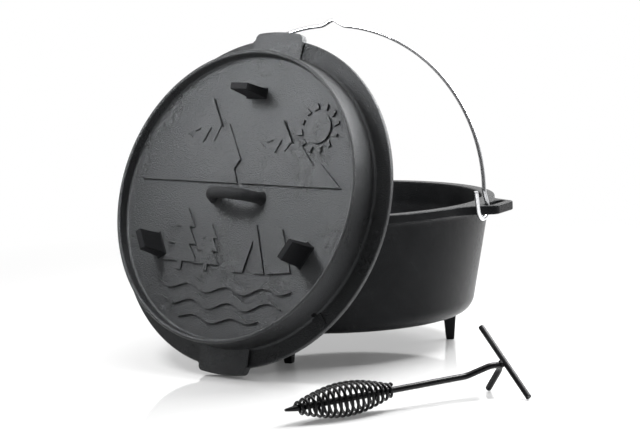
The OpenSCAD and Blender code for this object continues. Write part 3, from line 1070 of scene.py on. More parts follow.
@dataclass
class LidCasting:
    """Tray lid that leans on the pot: flange, tall rim, two tabs, three legs, a loop and a cable port."""

    # Place on the pot
    lean: float = 19.1
    turn: float = 10.3
    side: float = 4.7
    out: float = 165.046
    up: float = 191.615
    # Flange, tray, locating ring and hollow
    flange_radius: float = 193.0
    flange_thickness: float = 6.0
    flange_rise: float = 0.6
    tray_radius: float = 170.9
    tray_height: float = 37.5
    tray_wall: float = 4.6
    tray_draft: float = 0.6
    tray_corner: float = 3.0
    tray_rings: tuple[float, ...] = (120.0, 60.0, 0.0)
    wall_radius: float = 172.0
    wall_slope: float = 4.0
    ring_radius: float = 170.5
    ring_depth: float = 4.0
    ring_draft: float = 0.2
    ring_ease: float = 1.4
    plate_top: float = 24.0
    plate_low: float = 19.0
    hollow_corner: float = 6.0
    hollow_rings: tuple[float, ...] = (0.0, 70.0, 130.0)
    foot_fillet: float = 3.6
    edge: float = 1.7
    # Tabs, with the bend's corner, the crest's angles and the seat in the flange
    tab_width: float = 68.0
    tab_reach: float = 200.7
    tab_height: float = 2.5
    tab_corner: float = 7.0
    tab_spread: float = 3.2
    tab_inset: float = 0.5
    tab_bend: Flat = (0.2, -0.4)
    tab_rise: float = 2.2
    tab_crest: Flat = (1.2, 89.0)
    tab_seat: Flat = (2.0, 4.0)
    tab_edge: float = 1.8
    tab_margin: float = 1.0
    # Legs, with their growth and height at the root, and their loss and depth at the end
    leg_circle: float = 122.5
    leg_width: float = 27.0
    leg_depth: float = 10.5
    leg_height: float = 35.0
    leg_taper: float = 1.2
    leg_corner: float = 1.5
    leg_flare: tuple[Flat, ...] = ((4.6, -1.0), (3.4, 0.15), (1.8, 0.6), (0.8, 1.5), (0.2, 3.0))
    leg_rings: tuple[float, ...] = (0.3, 0.6)
    leg_end: tuple[Flat, ...] = ((0.0, 1.3), (0.3, 0.6), (1.0, 0.15), (2.2, 0.0))
    leg_angles: tuple[float, ...] = (120.0, 240.0)
    # Loop handle and its flared roots
    loop_radius: float = 36.5
    loop_bar: float = 11.5
    loop_width: float = 13.5
    loop_sink: float = 9.5
    loop_shift: float = -2.5
    root_height: float = 7.0
    root_sink: float = 1.0
    root_grow: float = 0.30
    root_curve: float = 2.2
    # Cable port and its tongue
    port_angle: float = -46.0
    port_bore: float = 3.2
    port_rise: float = 4.4
    port_inside: float = 8.0
    port_outside: float = 10.0
    tongue_width: float = 13.0
    tongue_height: float = 1.6
    tongue_margin: float = 3.0
    tongue_seat: float = 1.0
    tongue_edge: float = 0.8
    steps: int = 320
    finish: IronFinish = LID_IRON
    ring_finish: IronFinish = RING_IRON
    leg_finish: IronFinish = LEG_IRON
    loop_finish: IronFinish = LOOP_IRON

    @property
    def tray_inside(self) -> float:
        """Radius of the tall rim's inner face."""
        return self.tray_radius - self.tray_wall

    def placement(self, pot: PotCasting) -> Matrix:
        """Placement of the lid's own frame as it leans on the pot's rim.

        Args:
            pot: Pot that the lid leans on.

        Returns:
            The placement in millimetres.
        """
        moved = Matrix.Translation((self.side, -self.out, self.up))
        return pot.placement() @ turned(-self.turn) @ moved @ turned(90 - self.lean, "X")

    def profile(self) -> list[Flat]:
        """Section of the lid from the middle of its underside round to the middle of its tray.

        Returns:
            Radius and height of each point.
        """
        e, low, slope, hollow = self.edge, -self.flange_thickness, self.wall_slope, self.hollow_corner
        lip, inner, crown = low - self.ring_depth, self.tray_inside, self.tray_wall / 2
        ring, draft, ease = self.ring_radius, self.ring_draft, self.ring_ease
        ledge = ring + 3 * draft
        foot = (self.wall_radius + self.foot_fillet - draft, self.foot_fillet + self.flange_rise)
        corner = (inner - self.tray_draft - self.tray_corner, self.plate_top + self.tray_corner)
        return [
            *((r, self.plate_low) for r in self.hollow_rings),
            *arc((inner - hollow, self.plate_low - hollow), hollow, 90, slope, steps=10),
            *bow((inner, lip + ease), (inner, lip), (inner + ease, lip), steps=4),
            *bow((ring - draft - ease, lip), (ring - draft, lip), (ring, lip + ease), steps=4),
            *bow((ring + 2 * draft, low - ease), (ledge, low), (ledge + ease, low), steps=4),
            *arc((self.flange_radius - e, low + e), e, -90, 0, steps=6),
            *arc((self.flange_radius - e, -e), e, 0, 90, steps=6),
            *arc(foot, self.foot_fillet, 270, 180 + slope, steps=10),
            *arc((self.tray_radius - crown, self.tray_height - crown), crown, slope, 180 - slope, steps=14),
            *arc(corner, self.tray_corner, 0, -90, steps=8),
            *((r, self.plate_top) for r in self.tray_rings),
        ]

    def shell(self) -> Piece:
        """Spins the lid's section and drills the cable port through the foot of its wall.

        Returns:
            The shell.
        """
        piece = Bench.spun("lid_casting", self.profile(), self.steps)
        Bench.clear()
        start = self.tray_inside - self.port_inside
        reach = self.wall_radius + self.port_outside - start
        bpy.ops.mesh.primitive_cylinder_add(vertices=40, radius=self.port_bore, depth=reach)
        drill = bpy.context.active_object
        middle = Matrix.Translation((start + reach / 2, 0.0, self.port_rise))
        Bench.moved(drill, turned(self.port_angle) @ middle @ turned(90, "Y"))
        Bench.modified(piece, "BOOLEAN", operation="DIFFERENCE", solver="EXACT", object=drill)
        bpy.data.objects.remove(drill)
        return piece

    def tab(self) -> Piece:
        """Raises one tab from an outline with soft bends into the flange.

        Returns:
            The tab on the +Y side.
        """
        half, corner, inset = self.tab_width / 2, self.tab_corner, self.flange_radius - self.tab_inset
        root = math.sqrt(self.flange_radius**2 - half**2)
        bend = (half + self.tab_spread) / self.flange_radius
        on_rim = (inset * math.sin(bend), inset * math.cos(bend))
        heel = (half + self.tab_bend[0], root + self.tab_bend[1])
        side = half - corner
        up = math.sqrt((self.tab_reach - corner) ** 2 - side**2)
        turn = math.degrees(math.atan2(up, side))
        gap, crest = self.tab_crest
        right = [
            *bow(on_rim, heel, (half, root + self.tab_rise), steps=8),
            *arc((side, up), corner, 0, turn, steps=10),
            *arc((0.0, 0.0), self.tab_reach, turn + gap, crest, steps=8),
        ]
        left = [(-x, y) for x, y in reversed(right)]
        seat_x, seat_y = half + self.tab_seat[0], self.wall_radius - self.tab_seat[1]
        outline = [*right, *left, (-seat_x, seat_y), (seat_x, seat_y)]
        piece = Bench.plate("tab", [outline], -self.flange_thickness, self.tab_height)
        Bench.eased(piece, self.tab_edge, segments=4, angle=50.0)
        return piece

    def leg(self) -> Piece:
        """Raises one leg from a soft root to an eased end.

        Returns:
            The leg on the +Y side.
        """
        taper, tall = 2 * self.leg_taper, self.leg_height
        steps = [
            *self.leg_flare,
            *((-taper * share, tall * share) for share in self.leg_rings),
            *((-taper - less, tall - under) for less, under in self.leg_end),
        ]
        rings = [(self.leg_width + d, self.leg_depth + d, self.plate_top + z) for d, z in steps]
        piece = Bench.stacked("leg", self.leg_corner, rings)
        Bench.moved(piece, Matrix.Translation((0.0, self.leg_circle, 0.0)))
        return piece

    def loop(self) -> Piece:
        """Spins the loop handle's oval bar over the middle of the tray and flares both its roots.

        Returns:
            The loop handle.
        """
        Bench.clear()
        middle = self.plate_top - self.loop_sink
        bpy.ops.mesh.primitive_circle_add(vertices=40, radius=0.5, fill_type="NOTHING")
        piece = Bench.named("lid_loop")
        piece.scale = (self.loop_bar, self.loop_width, 1.0)
        piece.location = (self.loop_radius, 0.0, middle)
        bpy.ops.object.transform_apply(location=True, rotation=False, scale=True)
        Bench.edit(piece)
        bpy.ops.mesh.spin(steps=64, angle=math.pi, center=(0, 0, middle), axis=(0, 1, 0))
        Bench.edit(piece)
        bpy.ops.mesh.remove_doubles(threshold=MERGE)
        Bench.clear()
        self.flare(piece, middle)
        Bench.edit(piece, everything=False)
        bpy.ops.mesh.select_non_manifold()
        bpy.ops.mesh.fill_holes(sides=0)
        Bench.close_up(piece)
        Bench.moved(piece, Matrix.Translation((self.loop_shift, 0.0, 0.0)))
        return piece

    def flare(self, piece: Piece, middle: float) -> None:
        """Widens the loop's rings near the plate into soft roots.

        Args:
            piece: The spun loop.
            middle: Height of the loop's centre.
        """
        for vertex in piece.data.vertices:
            x, _, z = vertex.co
            lift = z - self.plate_top
            if lift < self.root_height:
                turn = math.atan2(max(z - middle, 0.0), abs(x))
                core = Vector((math.copysign(self.loop_radius * math.cos(turn), x), 0.0, z))
                depth = (self.root_height - max(lift, -self.root_sink)) / (self.root_height + self.root_sink)
                vertex.co = core + (vertex.co - core) * (1.0 + self.root_grow * depth**self.root_curve)

    def tongue(self) -> Piece:
        """Raises the flat tongue on the flange in front of the port.

        Returns:
            The tongue.
        """
        half, start = self.tongue_width / 2, self.wall_radius - self.tongue_seat
        end = (self.flange_radius - self.tongue_margin - half, 0.0)
        outline = [(start, -half), *arc(end, half, -90, 90, steps=16), (start, half)]
        piece = Bench.plate("tongue", [outline], -self.tongue_seat, self.tongue_height)
        Bench.eased(piece, self.tongue_edge, segments=3, angle=50.0)
        Bench.moved(piece, turned(self.port_angle))
        return piece

    def build(self) -> tuple[Piece, Piece, Piece]:
        """Makes the shell with its tabs and tongue, the three legs and the loop handle.

        Returns:
            The lid, its legs and its loop, in the lid's own frame.
        """
        high = self.tab()
        low = Bench.copied(high, turned(180))
        lid = Bench.joined("lid_casting", [self.shell(), high, low, self.tongue()])
        first = self.leg()
        rest = [Bench.copied(first, turned(angle)) for angle in self.leg_angles]
        return lid, Bench.joined("lid_legs", [first, *rest]), self.loop()

    def is_ring(self, face: Face) -> bool:
        """Whether a face lies outside the tray rim's crest and on neither tab.

        Args:
            face: Face of the lid in its own frame.

        Returns:
            True for a face of the rim's outside or of the flange.
        """
        spot = face.center.xy
        on_tab = abs(spot.x) < self.tab_width / 2 + self.tab_margin and spot.length > self.wall_radius
        return spot.length > self.tray_radius - self.tray_wall / 2 and not on_tab

    def dress(self, lid: Piece, legs: Piece, loop: Piece, pot: PotCasting) -> list[Piece]:
        """Shades the lid, its legs and its loop and hands them to the lid's body.

        Args:
            lid: Lid in its own frame.
            legs: Its legs in the same frame.
            loop: Its loop handle in the same frame.
            pot: Pot that the lid leans on.

        Returns:
            The dressed pieces.
        """
        two_finishes(lid, self.finish, self.ring_finish, self.is_ring)
        legs.data.materials.append(self.leg_finish.material())
        loop.data.materials.append(self.loop_finish.material())
        nodes = ((lid, ["lid"]), (legs, []), (loop, []))
        for piece, _ in nodes:
            Bench.smoothed(piece)
        return [settled(piece, self.placement(pot), Body.LID, node) for piece, node in nodes]


@dataclass
class LidRelief:
    """Camp scene cast on the lid's plate: peaks, a sun, pines, a tent and ripples."""

    lid: LidCasting
    height: float = 2.3
    sink: float = 0.6
    snow: float = 1.5
    ease: float = 0.6
    # Sun, with its rays' reach as shares of its radius, and their half widths in radians
    sun_place: Flat = (97.0, 84.0)
    sun_radius: float = 18.0
    sun_steps: int = 48
    rays: int = 12
    ray_reach: Flat = (1.22, 1.62)
    ray_spread: Flat = (0.15, 0.06)
    # Middle, foot and height of each pine
    pines: tuple[Point, ...] = ((-70.0, -88.0, 72.0), (-31.0, -87.0, 54.0))
    # Middle line, half length, wave height and thickness of each ripple
    ripples: tuple[tuple[float, float, float, float], ...] = (
        (-103.0, 98.0, 4.0, 11.0), (-121.0, 88.0, 4.2, 11.0), (-139.0, 58.0, 3.4, 9.0))
    ripple_steps: int = 72
    # Radians per millimetre along a ripple, and from one ripple to the next
    ripple_wave: Flat = (0.115, 0.05)
    ripple_end: float = 0.12

    @staticmethod
    def peaks() -> list[list[Flat]]:
        """Outlines of the range: two massifs with a narrow valley between them.

        Returns:
            The left and the right massif, each from its right foot to its left one.
        """
        left = [
            (-5, 16), (-13, 33), (-6, 44), (-31, 85), (-40, 80), (-60, 113),
            (-82, 67), (-90, 72), (-116, 40), (-126, 44), (-147, 16),
        ]
        right = [
            (143, 16), (110, 43), (100, 40), (74, 68), (66, 64), (48, 90),
            (27, 59), (20, 64), (1, 43), (-6, 32), (1, 16),
        ]
        return [left, right]

    @staticmethod
    def caps() -> list[list[Flat]]:
        """Outlines of the snow on the two main summits.

        Returns:
            The left and the right cap, each from its summit.
        """
        left = [(-60, 114.2), (-79, 74.6), (-71, 79), (-64.5, 62), (-56, 80), (-48.5, 64), (-41.2, 82.9)]
        right = [(48, 91.1), (30, 64.2), (38, 68), (43, 53), (50, 68), (56.5, 55), (64.6, 66.9)]
        return [left, right]

    @staticmethod
    def pine(x: float, y: float, tall: float) -> list[Flat]:
        """Outline of a pine with three tiers.

        Args:
            x: Middle of the trunk.
            y: Foot of the trunk.
            tall: Height of the tree.

        Returns:
            The closed outline.
        """
        trunk, tiers = 0.05, ((0.36, 0.14), (0.28, 0.42), (0.20, 0.70))
        waists = (trunk, 0.14, 0.09)
        right = [(trunk, 0.0)]
        for waist, (reach, foot) in zip(waists, tiers):
            right += [(waist, foot), (reach, foot)]
        left = [(-a, b) for a, b in reversed(right)]
        return [(x + tall * a, y + tall * b) for a, b in (*right, (0.0, 1.0), *left)]

    @staticmethod
    def tent() -> list[list[Flat]]:
        """Outlines of a ridge tent.

        Returns:
            Its front with an open door, and its long side.
        """
        front = [(8, -86), (25, -86), (33, -48), (41, -86), (56, -86), (34, -30), (30, -30)]
        side = [(59, -86), (93, -82), (72, -34), (38, -30)]
        return [front, side]

    def ripple(self, y: float, half: float, lift: float, thick: float) -> list[Flat]:
        """Outline of a long ripple that thins towards both ends.

        Args:
            y: Height of its middle line.
            half: Half of its length.
            lift: Height of its waves.
            thick: Its thickness in the middle.

        Returns:
            The closed outline.
        """
        wave, drift = self.ripple_wave
        upper, lower = [], []
        for i in range(self.ripple_steps + 1):
            x = -half + 2 * half * i / self.ripple_steps
            middle = y + lift * math.sin(x * wave + drift * y)
            body = thick / 2 * max(self.ripple_end, 1 - (x / half) ** 2)
            lower.append((x, middle - body))
            upper.append((x, middle + body))
        return [*lower, *reversed(upper)]

    def sun(self) -> list[list[Flat]]:
        """Outlines of a sun with short rays.

        Returns:
            The disc and its rays.
        """
        (x, y), step = self.sun_place, 360 / self.sun_steps
        near, far = (self.sun_radius * share for share in self.ray_reach)
        wide, slim = self.ray_spread
        corners = [(near, -wide), (far, -slim), (far, slim), (near, wide)]
        rays = []
        for i in range(self.rays):
            turn = math.tau * (i + 0.5) / self.rays
            rays.append([(x + r * math.cos(turn + t), y + r * math.sin(turn + t)) for r, t in corners])
        return [arc((x, y), self.sun_radius, 0, 360 - step, self.sun_steps - 1), *rays]

    def build(self) -> Piece:
        """Raises every motif from the plate, the snow one step higher.

        Returns:
            The relief in the lid's own frame.
        """
        base, top = self.lid.plate_top, self.lid.plate_top + self.height
        pines = [self.pine(*tree) for tree in self.pines]
        ripples = [self.ripple(*wave) for wave in self.ripples]
        low = [*self.peaks(), *self.sun(), *pines, *self.tent(), *ripples]
        parts = [Bench.plate(f"motif_{i}", [line], base - self.sink, top) for i, line in enumerate(low)]
        caps = enumerate(self.caps())
        snow = [Bench.plate(f"snow_{i}", [line], base, top + self.snow) for i, line in caps]
        piece = Bench.joined("lid_relief", [*parts, *snow])
        Bench.eased(piece, self.ease, segments=3, angle=60.0)
        return piece

    def dress(self, piece: Piece, pot: PotCasting) -> list[Piece]:
        """Shades the relief in the dressed lid's own iron and hands it to the lid's body.

        Args:
            piece: Relief in the lid's own frame.
            pot: Pot that the lid leans on.

        Returns:
            The dressed relief.
        """
        piece.data.materials.append(bpy.data.materials[self.lid.finish.name])
        Bench.smoothed(piece)
        return [settled(piece, self.lid.placement(pot), Body.LID)]


@dataclass
class WireBail:
    """Bail of plated wire: a tall arch with a kink at its crown and an open hook at each end."""

    hinge: Point = (0.0, -29.0, 175.5)
    lean: float = 7.6
    wire: float = 5.0
    arch_radius: float = 202.0
    arch_rise: float = 8.7
    arch_offset: float = 8.7
    slot_centre: float = 204.8
    hook_radius: float = 14.0
    hook_leg: float = 23.5
    hook_turn: float = 159.0
    jog_top: float = 17.0
    kink_half: float = 14.0
    kink_height: float = 7.2
    step: float = 1.25
    bend_passes: int = 5
    end_share: float = 0.86
    end_length: float = 0.3
    finish: WireFinish = PLATED

    def half_path(self) -> list[Point]:
        """Middle line of the right half, from the hook's tip up to the crown.

        Returns:
            Its points with the hinge line on the X axis.
        """
        x, radius, rise = self.slot_centre, self.arch_radius, self.arch_rise
        opening = math.radians(-self.hook_turn)
        hook = [(x, y, z) for y, z in arc((0.0, 0.0), self.hook_radius, -self.hook_turn, 0, steps=40)]
        tip = Vector(hook[0]) + self.hook_leg * Vector((0.0, math.sin(opening), -math.cos(opening)))
        first = math.degrees(math.asin((self.jog_top - rise) / radius))
        last = 90 - math.degrees(math.asin(self.kink_half / radius))
        arch = [(x, self.arch_offset, z) for x, z in arc((0.0, rise), radius, first, last, steps=90)]
        peak = (0.0, self.arch_offset, rise + radius + self.kink_height)
        return [tuple(tip), *hook, *arch, peak]

    def build(self) -> Piece:
        """Sweeps the wire from hook to hook.

        Returns:
            The bail in its own frame.
        """
        right = self.half_path()
        whole = [*right, *((-x, y, z) for x, y, z in reversed(right[:-1]))]
        path = even_steps(whole, self.step, self.bend_passes)
        length = length_of(path)

        def thickness(along: float) -> float:
            """Share of the wire's radius, a little less at the two sawn ends."""
            return self.end_share if min(along, length - along) < self.end_length else 1.0

        return Bench.wire("bail_wire", path, self.wire / 2, roundness=6, sizes=thickness)

    def dress(self, piece: Piece, pot: PotCasting) -> list[Piece]:
        """Shades the bail and hands it to its body.

        Args:
            piece: Bail in its own frame.
            pot: Pot that it hangs on.

        Returns:
            The dressed bail.
        """
        piece.data.materials.append(self.finish.material())
        Bench.smoothed(piece, angle=50.0)
        place = pot.placement() @ Matrix.Translation(self.hinge) @ turned(-self.lean, "X")
        return [settled(piece, place, Body.BAIL, ["bail"])]


@dataclass
class LidLifter:
    """Black steel lifter: a bent rod with a coil grip, and a crossbar welded on its crown."""

    # Place on the floor
    rest: Point = (304.6, -220.5, 25.3)
    yaw: float = 57.1
    pitch: float = 2.0
    roll: float = 37.5
    # Rod and crossbar
    rod: float = 7.0
    crossbar: float = 6.6
    crossbar_length: float = 107.0
    crossbar_edge: float = 0.7
    shoulder_start: float = 44.0
    shoulder_end: float = 18.0
    shoulder_step: float = 9.7
    crown_length: float = 6.9
    bend: float = 9.0
    turn: float = 98.0
    leg: float = 28.5
    step: float = 1.2
    bend_passes: int = 9
    end_share: float = 0.85
    end_length: float = 0.4
    tail: float = 15.0
    tail_tip: float = 2.6
    tail_curve: float = 0.8
    # Coil grip
    coil_wire: float = 3.3
    coil_turns: int = 17
    coil_steps: int = 44
    coil_front: float = 138.0
    coil_length: float = 113.0
    coil_belly: float = 17.1
    coil_gap: float = 0.4
    # Weld beads
    weld_gap: float = 0.8
    crown_bead: Point = (3.6, 4.6, 3.6)
    grip_bead: Point = (2.6, 2.4, 2.6)
    bead_sink: float = 0.9
    bead_past: float = 0.4
    bead_waves: Point = (5.0, 4.0, 9.0)
    bead_swell: Flat = (0.07, 0.05)
    finish: WireFinish = BLACK

    @property
    def coil_tail(self) -> float:
        """Distance from the frame's origin back to the coil's far end."""
        return self.coil_front + self.coil_length

    @property
    def coil_end(self) -> float:
        """Radius of the coil's middle line at both its ends."""
        return self.rod / 2 + self.coil_gap + self.coil_wire / 2

    @property
    def bend_centre(self) -> Flat:
        """Middle of the hook's bend, along and above the rod."""
        return (-self.shoulder_end + self.crown_length, self.shoulder_step - self.bend)

    def placement(self, pot: PotCasting) -> Matrix:
        """Placement of the lifter's own frame as it lies on the floor.

        Args:
            pot: Pot that the place is measured from.

        Returns:
            The placement in millimetres.
        """
        lying = turned(self.yaw) @ turned(-self.pitch, "Y") @ turned(self.roll, "X")
        return pot.placement() @ Matrix.Translation(self.rest) @ lying

    def on_crown(self, past: float) -> Point:
        """Place in front of and above the hook's bend, past the rod's skin by a distance."""
        reach = (self.bend + self.rod / 2 + past) * math.sqrt(0.5)
        return (self.bend_centre[0] + reach, 0.0, self.bend_centre[1] + reach)

    def rod_piece(self) -> Piece:
        """Sweeps the rod from its pointed tail through the shoulder and bend to the hook's tip.

        Returns:
            The rod.
        """
        last = 90 - self.turn
        hook = [(x, 0.0, z) for x, z in arc(self.bend_centre, self.bend, 90, last, steps=24)]
        down = Vector((math.sin(math.radians(last)), 0.0, -math.cos(math.radians(last))))
        tail = (-self.coil_tail - self.tail, 0.0, 0.0)
        shoulder = [(-self.shoulder_start, 0.0, 0.0), (-self.shoulder_end, 0.0, self.shoulder_step)]
        tip = tuple(Vector(hook[-1]) + self.leg * down)
        path = even_steps([tail, *shoulder, *hook, tip], self.step, self.bend_passes)
        length = length_of(path)
        point = self.tail_tip / self.rod

        def thickness(along: float) -> float:
            """Share of the rod's radius: a drawn-out tail and an eased tip."""
            if along < self.tail:
                return point + (1 - point) * (along / self.tail) ** self.tail_curve
            return self.end_share if length - along < self.end_length else 1.0

        return Bench.wire("lifter_rod_bent", path, self.rod / 2, roundness=8, sizes=thickness)

    def crossbar_piece(self) -> Piece:
        """Makes the crossbar from a cylinder with its sawn ends eased.

        Returns:
            The crossbar.
        """
        radius = self.crossbar / 2
        Bench.clear()
        bpy.ops.mesh.primitive_cylinder_add(vertices=40, radius=radius, depth=self.crossbar_length)
        piece = Bench.named("lifter_bar")
        Bench.moved(piece, Matrix.Translation(self.on_crown(self.weld_gap + radius)) @ turned(90, "X"))
        Bench.eased(piece, self.crossbar_edge, segments=3, angle=60.0)
        return piece

    def coil_path(self) -> list[Point]:
        """Middle line of the barrel coil with a short straight end in each weld.

        Returns:
            Its points from the tail to the front.
        """
        end, back, count = self.coil_end, -self.coil_tail, self.coil_turns * self.coil_steps
        helix = []
        for i in range(count + 1):
            t = i / count
            radius = end + (self.coil_belly - end) * math.sin(math.pi * t)
            turn = math.tau * self.coil_turns * t
            helix.append((back + self.coil_length * t, radius * math.cos(turn), radius * math.sin(turn)))
        return [(back, end, -self.coil_wire), *helix, (-self.coil_front, end, self.coil_wire)]

    def coil_piece(self) -> Piece:
        """Sweeps the coil grip as one unbroken wire."""
        return Bench.wire("lifter_coil_grip", self.coil_path(), self.coil_wire / 2, roundness=5)

    def bead(self, name: str, middle: Point, size: Point, seed: float) -> Piece:
        """Shapes a weld bead from a ball: stretched, then rippled as it cooled.

        Args:
            name: Name of the bead.
            middle: Place of its middle.
            size: Half sizes along the three axes.
            seed: Shift of the ripple, so that no two beads are alike.

        Returns:
            The bead.
        """
        Bench.clear()
        bpy.ops.mesh.primitive_ico_sphere_add(subdivisions=4, radius=1.0)
        piece = Bench.named(name)
        broad, fine = self.bead_swell
        for vertex in piece.data.vertices:
            x, y, z = (wave * at for wave, at in zip(self.bead_waves, vertex.co))
            swell = broad * math.sin(x + seed) * math.cos(y - seed) + fine * math.sin(z + 2 * seed)
            vertex.co = vertex.co * (1.0 + swell)
        Bench.moved(piece, Matrix.Translation(middle) @ Matrix.Diagonal((*size, 1.0)))
        return piece

    def beads(self) -> list[tuple[Piece, str]]:
        """Makes the three weld beads.

        Returns:
            Each bead with the node that it stands for.
        """
        crown = self.on_crown(self.weld_gap / 2)
        inward, past = self.coil_end - self.bead_sink, self.coil_wire + self.bead_past
        front, tail = (-self.coil_front, inward, past), (-self.coil_tail, inward, -past)
        return [
            (self.bead("weld_crossbar", crown, self.crown_bead, seed=0.4), "crossbar_weld"),
            (self.bead("weld_grip_front", front, self.grip_bead, seed=1.7), "grip_weld_front"),
            (self.bead("weld_grip_tail", tail, self.grip_bead, seed=3.1), "grip_weld_tail"),
        ]

    def build(self) -> list[tuple[Piece, str]]:
        """Makes the rod, crossbar, coil and welds.

        Returns:
            Each piece with the node that it stands for.
        """
        return [
            (self.rod_piece(), "lifter_rod"),
            (self.crossbar_piece(), "lifter_crossbar"),
            (self.coil_piece(), "lifter_grip"),
            *self.beads(),
        ]

    def dress(self, parts: Sequence[tuple[Piece, str]], pot: PotCasting) -> list[Piece]:
        """Shades the lifter's pieces and hands them to its body.

        Args:
            parts: Each piece with the node that it stands for.
            pot: Pot that the place is measured from.

        Returns:
            The dressed pieces.
        """
        black = self.finish.material()
        for piece, _ in parts:
            piece.data.materials.append(black)
            Bench.smoothed(piece, angle=50.0)
        return [settled(piece, self.placement(pot), Body.LIFTER, [node]) for piece, node in parts]


@dataclass
class SoftBox:
    """One soft studio lamp, aimed at the oven. Its places and sizes are in metres."""

    name: str
    direction: Point
    distance: float
    size: Flat
    power: float
    target: Point

    def build(self) -> None:
        """Hangs the lamp."""
        Bench.clear()
        aim = Vector(self.direction).normalized()
        bpy.ops.object.light_add(type="AREA", location=Vector(self.target) + aim * self.distance)
        lamp = Bench.named(self.name)
        lamp.data.shape = "RECTANGLE"
        lamp.data.size, lamp.data.size_y = self.size
        lamp.data.energy = self.power
        lamp.visible_camera = False
        lamp.rotation_mode = "QUATERNION"
        lamp.rotation_quaternion = (-aim).to_track_quat("-Z", "Y")


@dataclass
class StudioStage:
    """White floor, white backdrop and soft lamps. Its sizes are in metres."""

    floor_radius: float = 9.0
    floor_tone: float = 0.84
    floor_roughness: float = 0.05
    floor_ior: float = 1.6
    floor_glow: float = 0.06
    fade_range: Flat = (0.6, 1.25)
    back_way: Point = (-0.25, 0.82, 0.48)
    back_range: Flat = (-0.15, 0.55)
    mirror_tones: Flat = (0.04, 1.0)
    fill_tones: Flat = (0.13, 0.6)
    lamps: list[SoftBox] = field(default_factory=lambda: [
        SoftBox("key_softbox", direction=(-0.69, -0.55, 0.48), distance=0.44, size=(0.16, 0.16),
                power=3.05, target=(0.000, -0.050, 0.336)),
        SoftBox("back_softbox", direction=(0.30, 0.88, 0.38), distance=1.4, size=(1.0, 0.45),
                power=10.0, target=(0.08, -0.05, 0.26)),
        SoftBox("rim_softbox", direction=(0.46, 0.60, 0.65), distance=0.55, size=(0.40, 0.30),
                power=7.6, target=(0.07, -0.06, 0.30)),
        SoftBox("top_softbox", direction=(0.05, 0.05, 1.0), distance=1.5, size=(1.2, 1.2),
                power=13.0, target=(0.0, 0.0, 0.2)),
    ])

    def floor(self) -> None:
        """Lays the glossy white floor."""
        Bench.clear()
        bpy.ops.mesh.primitive_circle_add(vertices=96, radius=self.floor_radius, fill_type="NGON")
        piece = Bench.named("studio_floor")
        piece.data.materials.append(self.floor_material())

    def floor_material(self) -> bpy.types.Material:
        """Lays out a glossy white near the oven that fades into plain white further out.

        Returns:
            The floor's material.
        """
        made, shader, places = Shading.blank("studio_white")
        tree = made.node_tree
        far = Shading.node(tree, "ShaderNodeVectorMath", operation="LENGTH")
        tree.links.new(places, far.inputs[0])
        fade = Shading.mask(tree, far.outputs["Value"], self.fade_range)
        _, seen = Shading.in_view(tree)
        looks = {
            "Base Color": grey(self.floor_tone),
            "Roughness": self.floor_roughness,
            "IOR": self.floor_ior,
            "Emission Color": grey(1.0),
            "Emission Strength": Shading.worked_out(tree, "MULTIPLY", seen, self.floor_glow),
        }
        for name, value in looks.items():
            Shading.feed(tree, shader.inputs[name], value)
        white = tree.nodes.new("ShaderNodeEmission")
        out = next(n for n in tree.nodes if n.type == "OUTPUT_MATERIAL")
        Shading.mixed(tree, Shading.worked_out(tree, "MULTIPLY", fade, seen), shader, white, out)
        return made

    def backdrop(self) -> None:
        """Sets the world: white where it is seen, brighter behind the oven in mirrors, a low fill light."""
        world = bpy.data.worlds.new("studio")
        bpy.context.scene.world = world
        world.use_nodes = True
        tree = world.node_tree
        tree.nodes.clear()
        places = tree.nodes.new("ShaderNodeTexCoord")
        behind = Shading.node(tree, "ShaderNodeVectorMath", operation="DOT_PRODUCT")
        for target, value in zip(behind.inputs, (places.outputs["Generated"], self.back_way)):
            Shading.feed(tree, target, value)
        glow = Shading.mask(tree, behind.outputs["Value"], self.back_range)
        mirror, light = (
            Shading.blend(tree, glow, grey(front), grey(back))
            for front, back in (self.mirror_tones, self.fill_tones)
        )
        straight, seen = Shading.in_view(tree)
        shown, fill = (tree.nodes.new("ShaderNodeBackground") for _ in range(2))
        tree.links.new(Shading.blend(tree, straight, mirror, grey(1.0)), shown.inputs["Color"])
        tree.links.new(light, fill.inputs["Color"])
        Shading.mixed(tree, seen, fill, shown, tree.nodes.new("ShaderNodeOutputWorld"))

    def build(self) -> None:
        """Lays the floor, sets the backdrop and hangs the lamps."""
        self.floor()
        self.backdrop()
        for lamp in self.lamps:
            lamp.build()
        bpy.context.scene.view_settings.view_transform = "Standard"


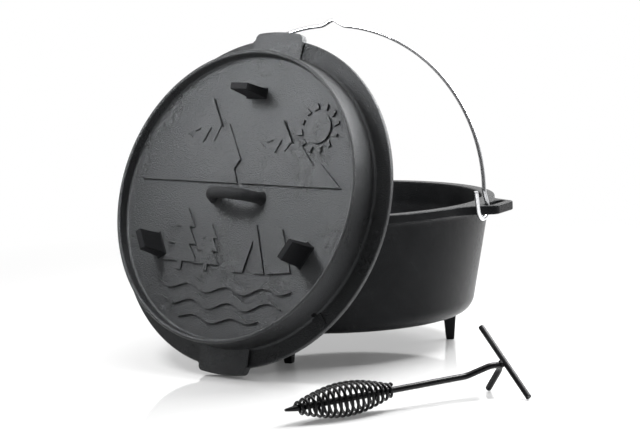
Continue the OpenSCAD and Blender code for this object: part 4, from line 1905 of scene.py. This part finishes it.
@dataclass
class PhotoCamera:
    """Camera at the photograph's angle, low and far in front of the oven's right side."""

    distance: float = 3000.0
    height: float = 535.42
    bearing: float = 27.08
    yaw: float = -0.38
    pitch: float = 7.29
    roll: float = 1.97
    lens: float = 141.73
    sensor: float = 36.0
    # Far end of its sight in metres
    sight: float = 100.0

    def build(self, pot: PotCasting) -> None:
        """Sets up the camera and makes it the scene's own.

        Args:
            pot: Pot that the distance is measured from.
        """
        yaw, pitch, roll = (math.radians(a) for a in (self.yaw, self.pitch, self.roll))
        ahead = Vector((math.sin(yaw) * math.cos(pitch), math.cos(yaw) * math.cos(pitch), -math.sin(pitch)))
        level = Vector((math.cos(yaw), -math.sin(yaw), 0.0))
        above = Vector((math.sin(yaw) * math.sin(pitch), math.cos(yaw) * math.sin(pitch), math.cos(pitch)))
        right = level * math.cos(roll) - above * math.sin(roll)
        up = level * math.sin(roll) + above * math.cos(roll)
        stand = Matrix((right, up, -ahead)).transposed().to_4x4()
        stand.translation = Vector((0.0, -self.distance, self.height)) * MM
        Bench.clear()
        bpy.ops.object.camera_add()
        camera = Bench.named("photo_camera")
        camera.matrix_world = Matrix.Translation(Vector(pot.place) * MM) @ turned(self.bearing) @ stand
        camera.data.sensor_fit = "HORIZONTAL"
        camera.data.sensor_width = self.sensor
        camera.data.lens = self.lens
        camera.data.clip_end = self.sight
        bpy.context.scene.camera = camera


def main() -> None:
    """Builds and dresses the oven piece by piece, then the studio round it."""
    logging.basicConfig(level=logging.INFO, format="%(message)s")
    pot, lid, bail, lifter = PotCasting(), LidCasting(), WireBail(), LidLifter()
    relief = LidRelief(lid)
    pieces = [
        *pot.dress(pot.build()),
        *lid.dress(*lid.build(), pot),
        *relief.dress(relief.build(), pot),
        *bail.dress(bail.build(), pot),
        *lifter.dress(lifter.build(), pot),
    ]
    for piece in pieces:
        LOG.info("%s: %d faces", piece.name, len(piece.data.polygons))
    StudioStage().build()
    PhotoCamera().build(pot)


if __name__ == "__main__":
    main()
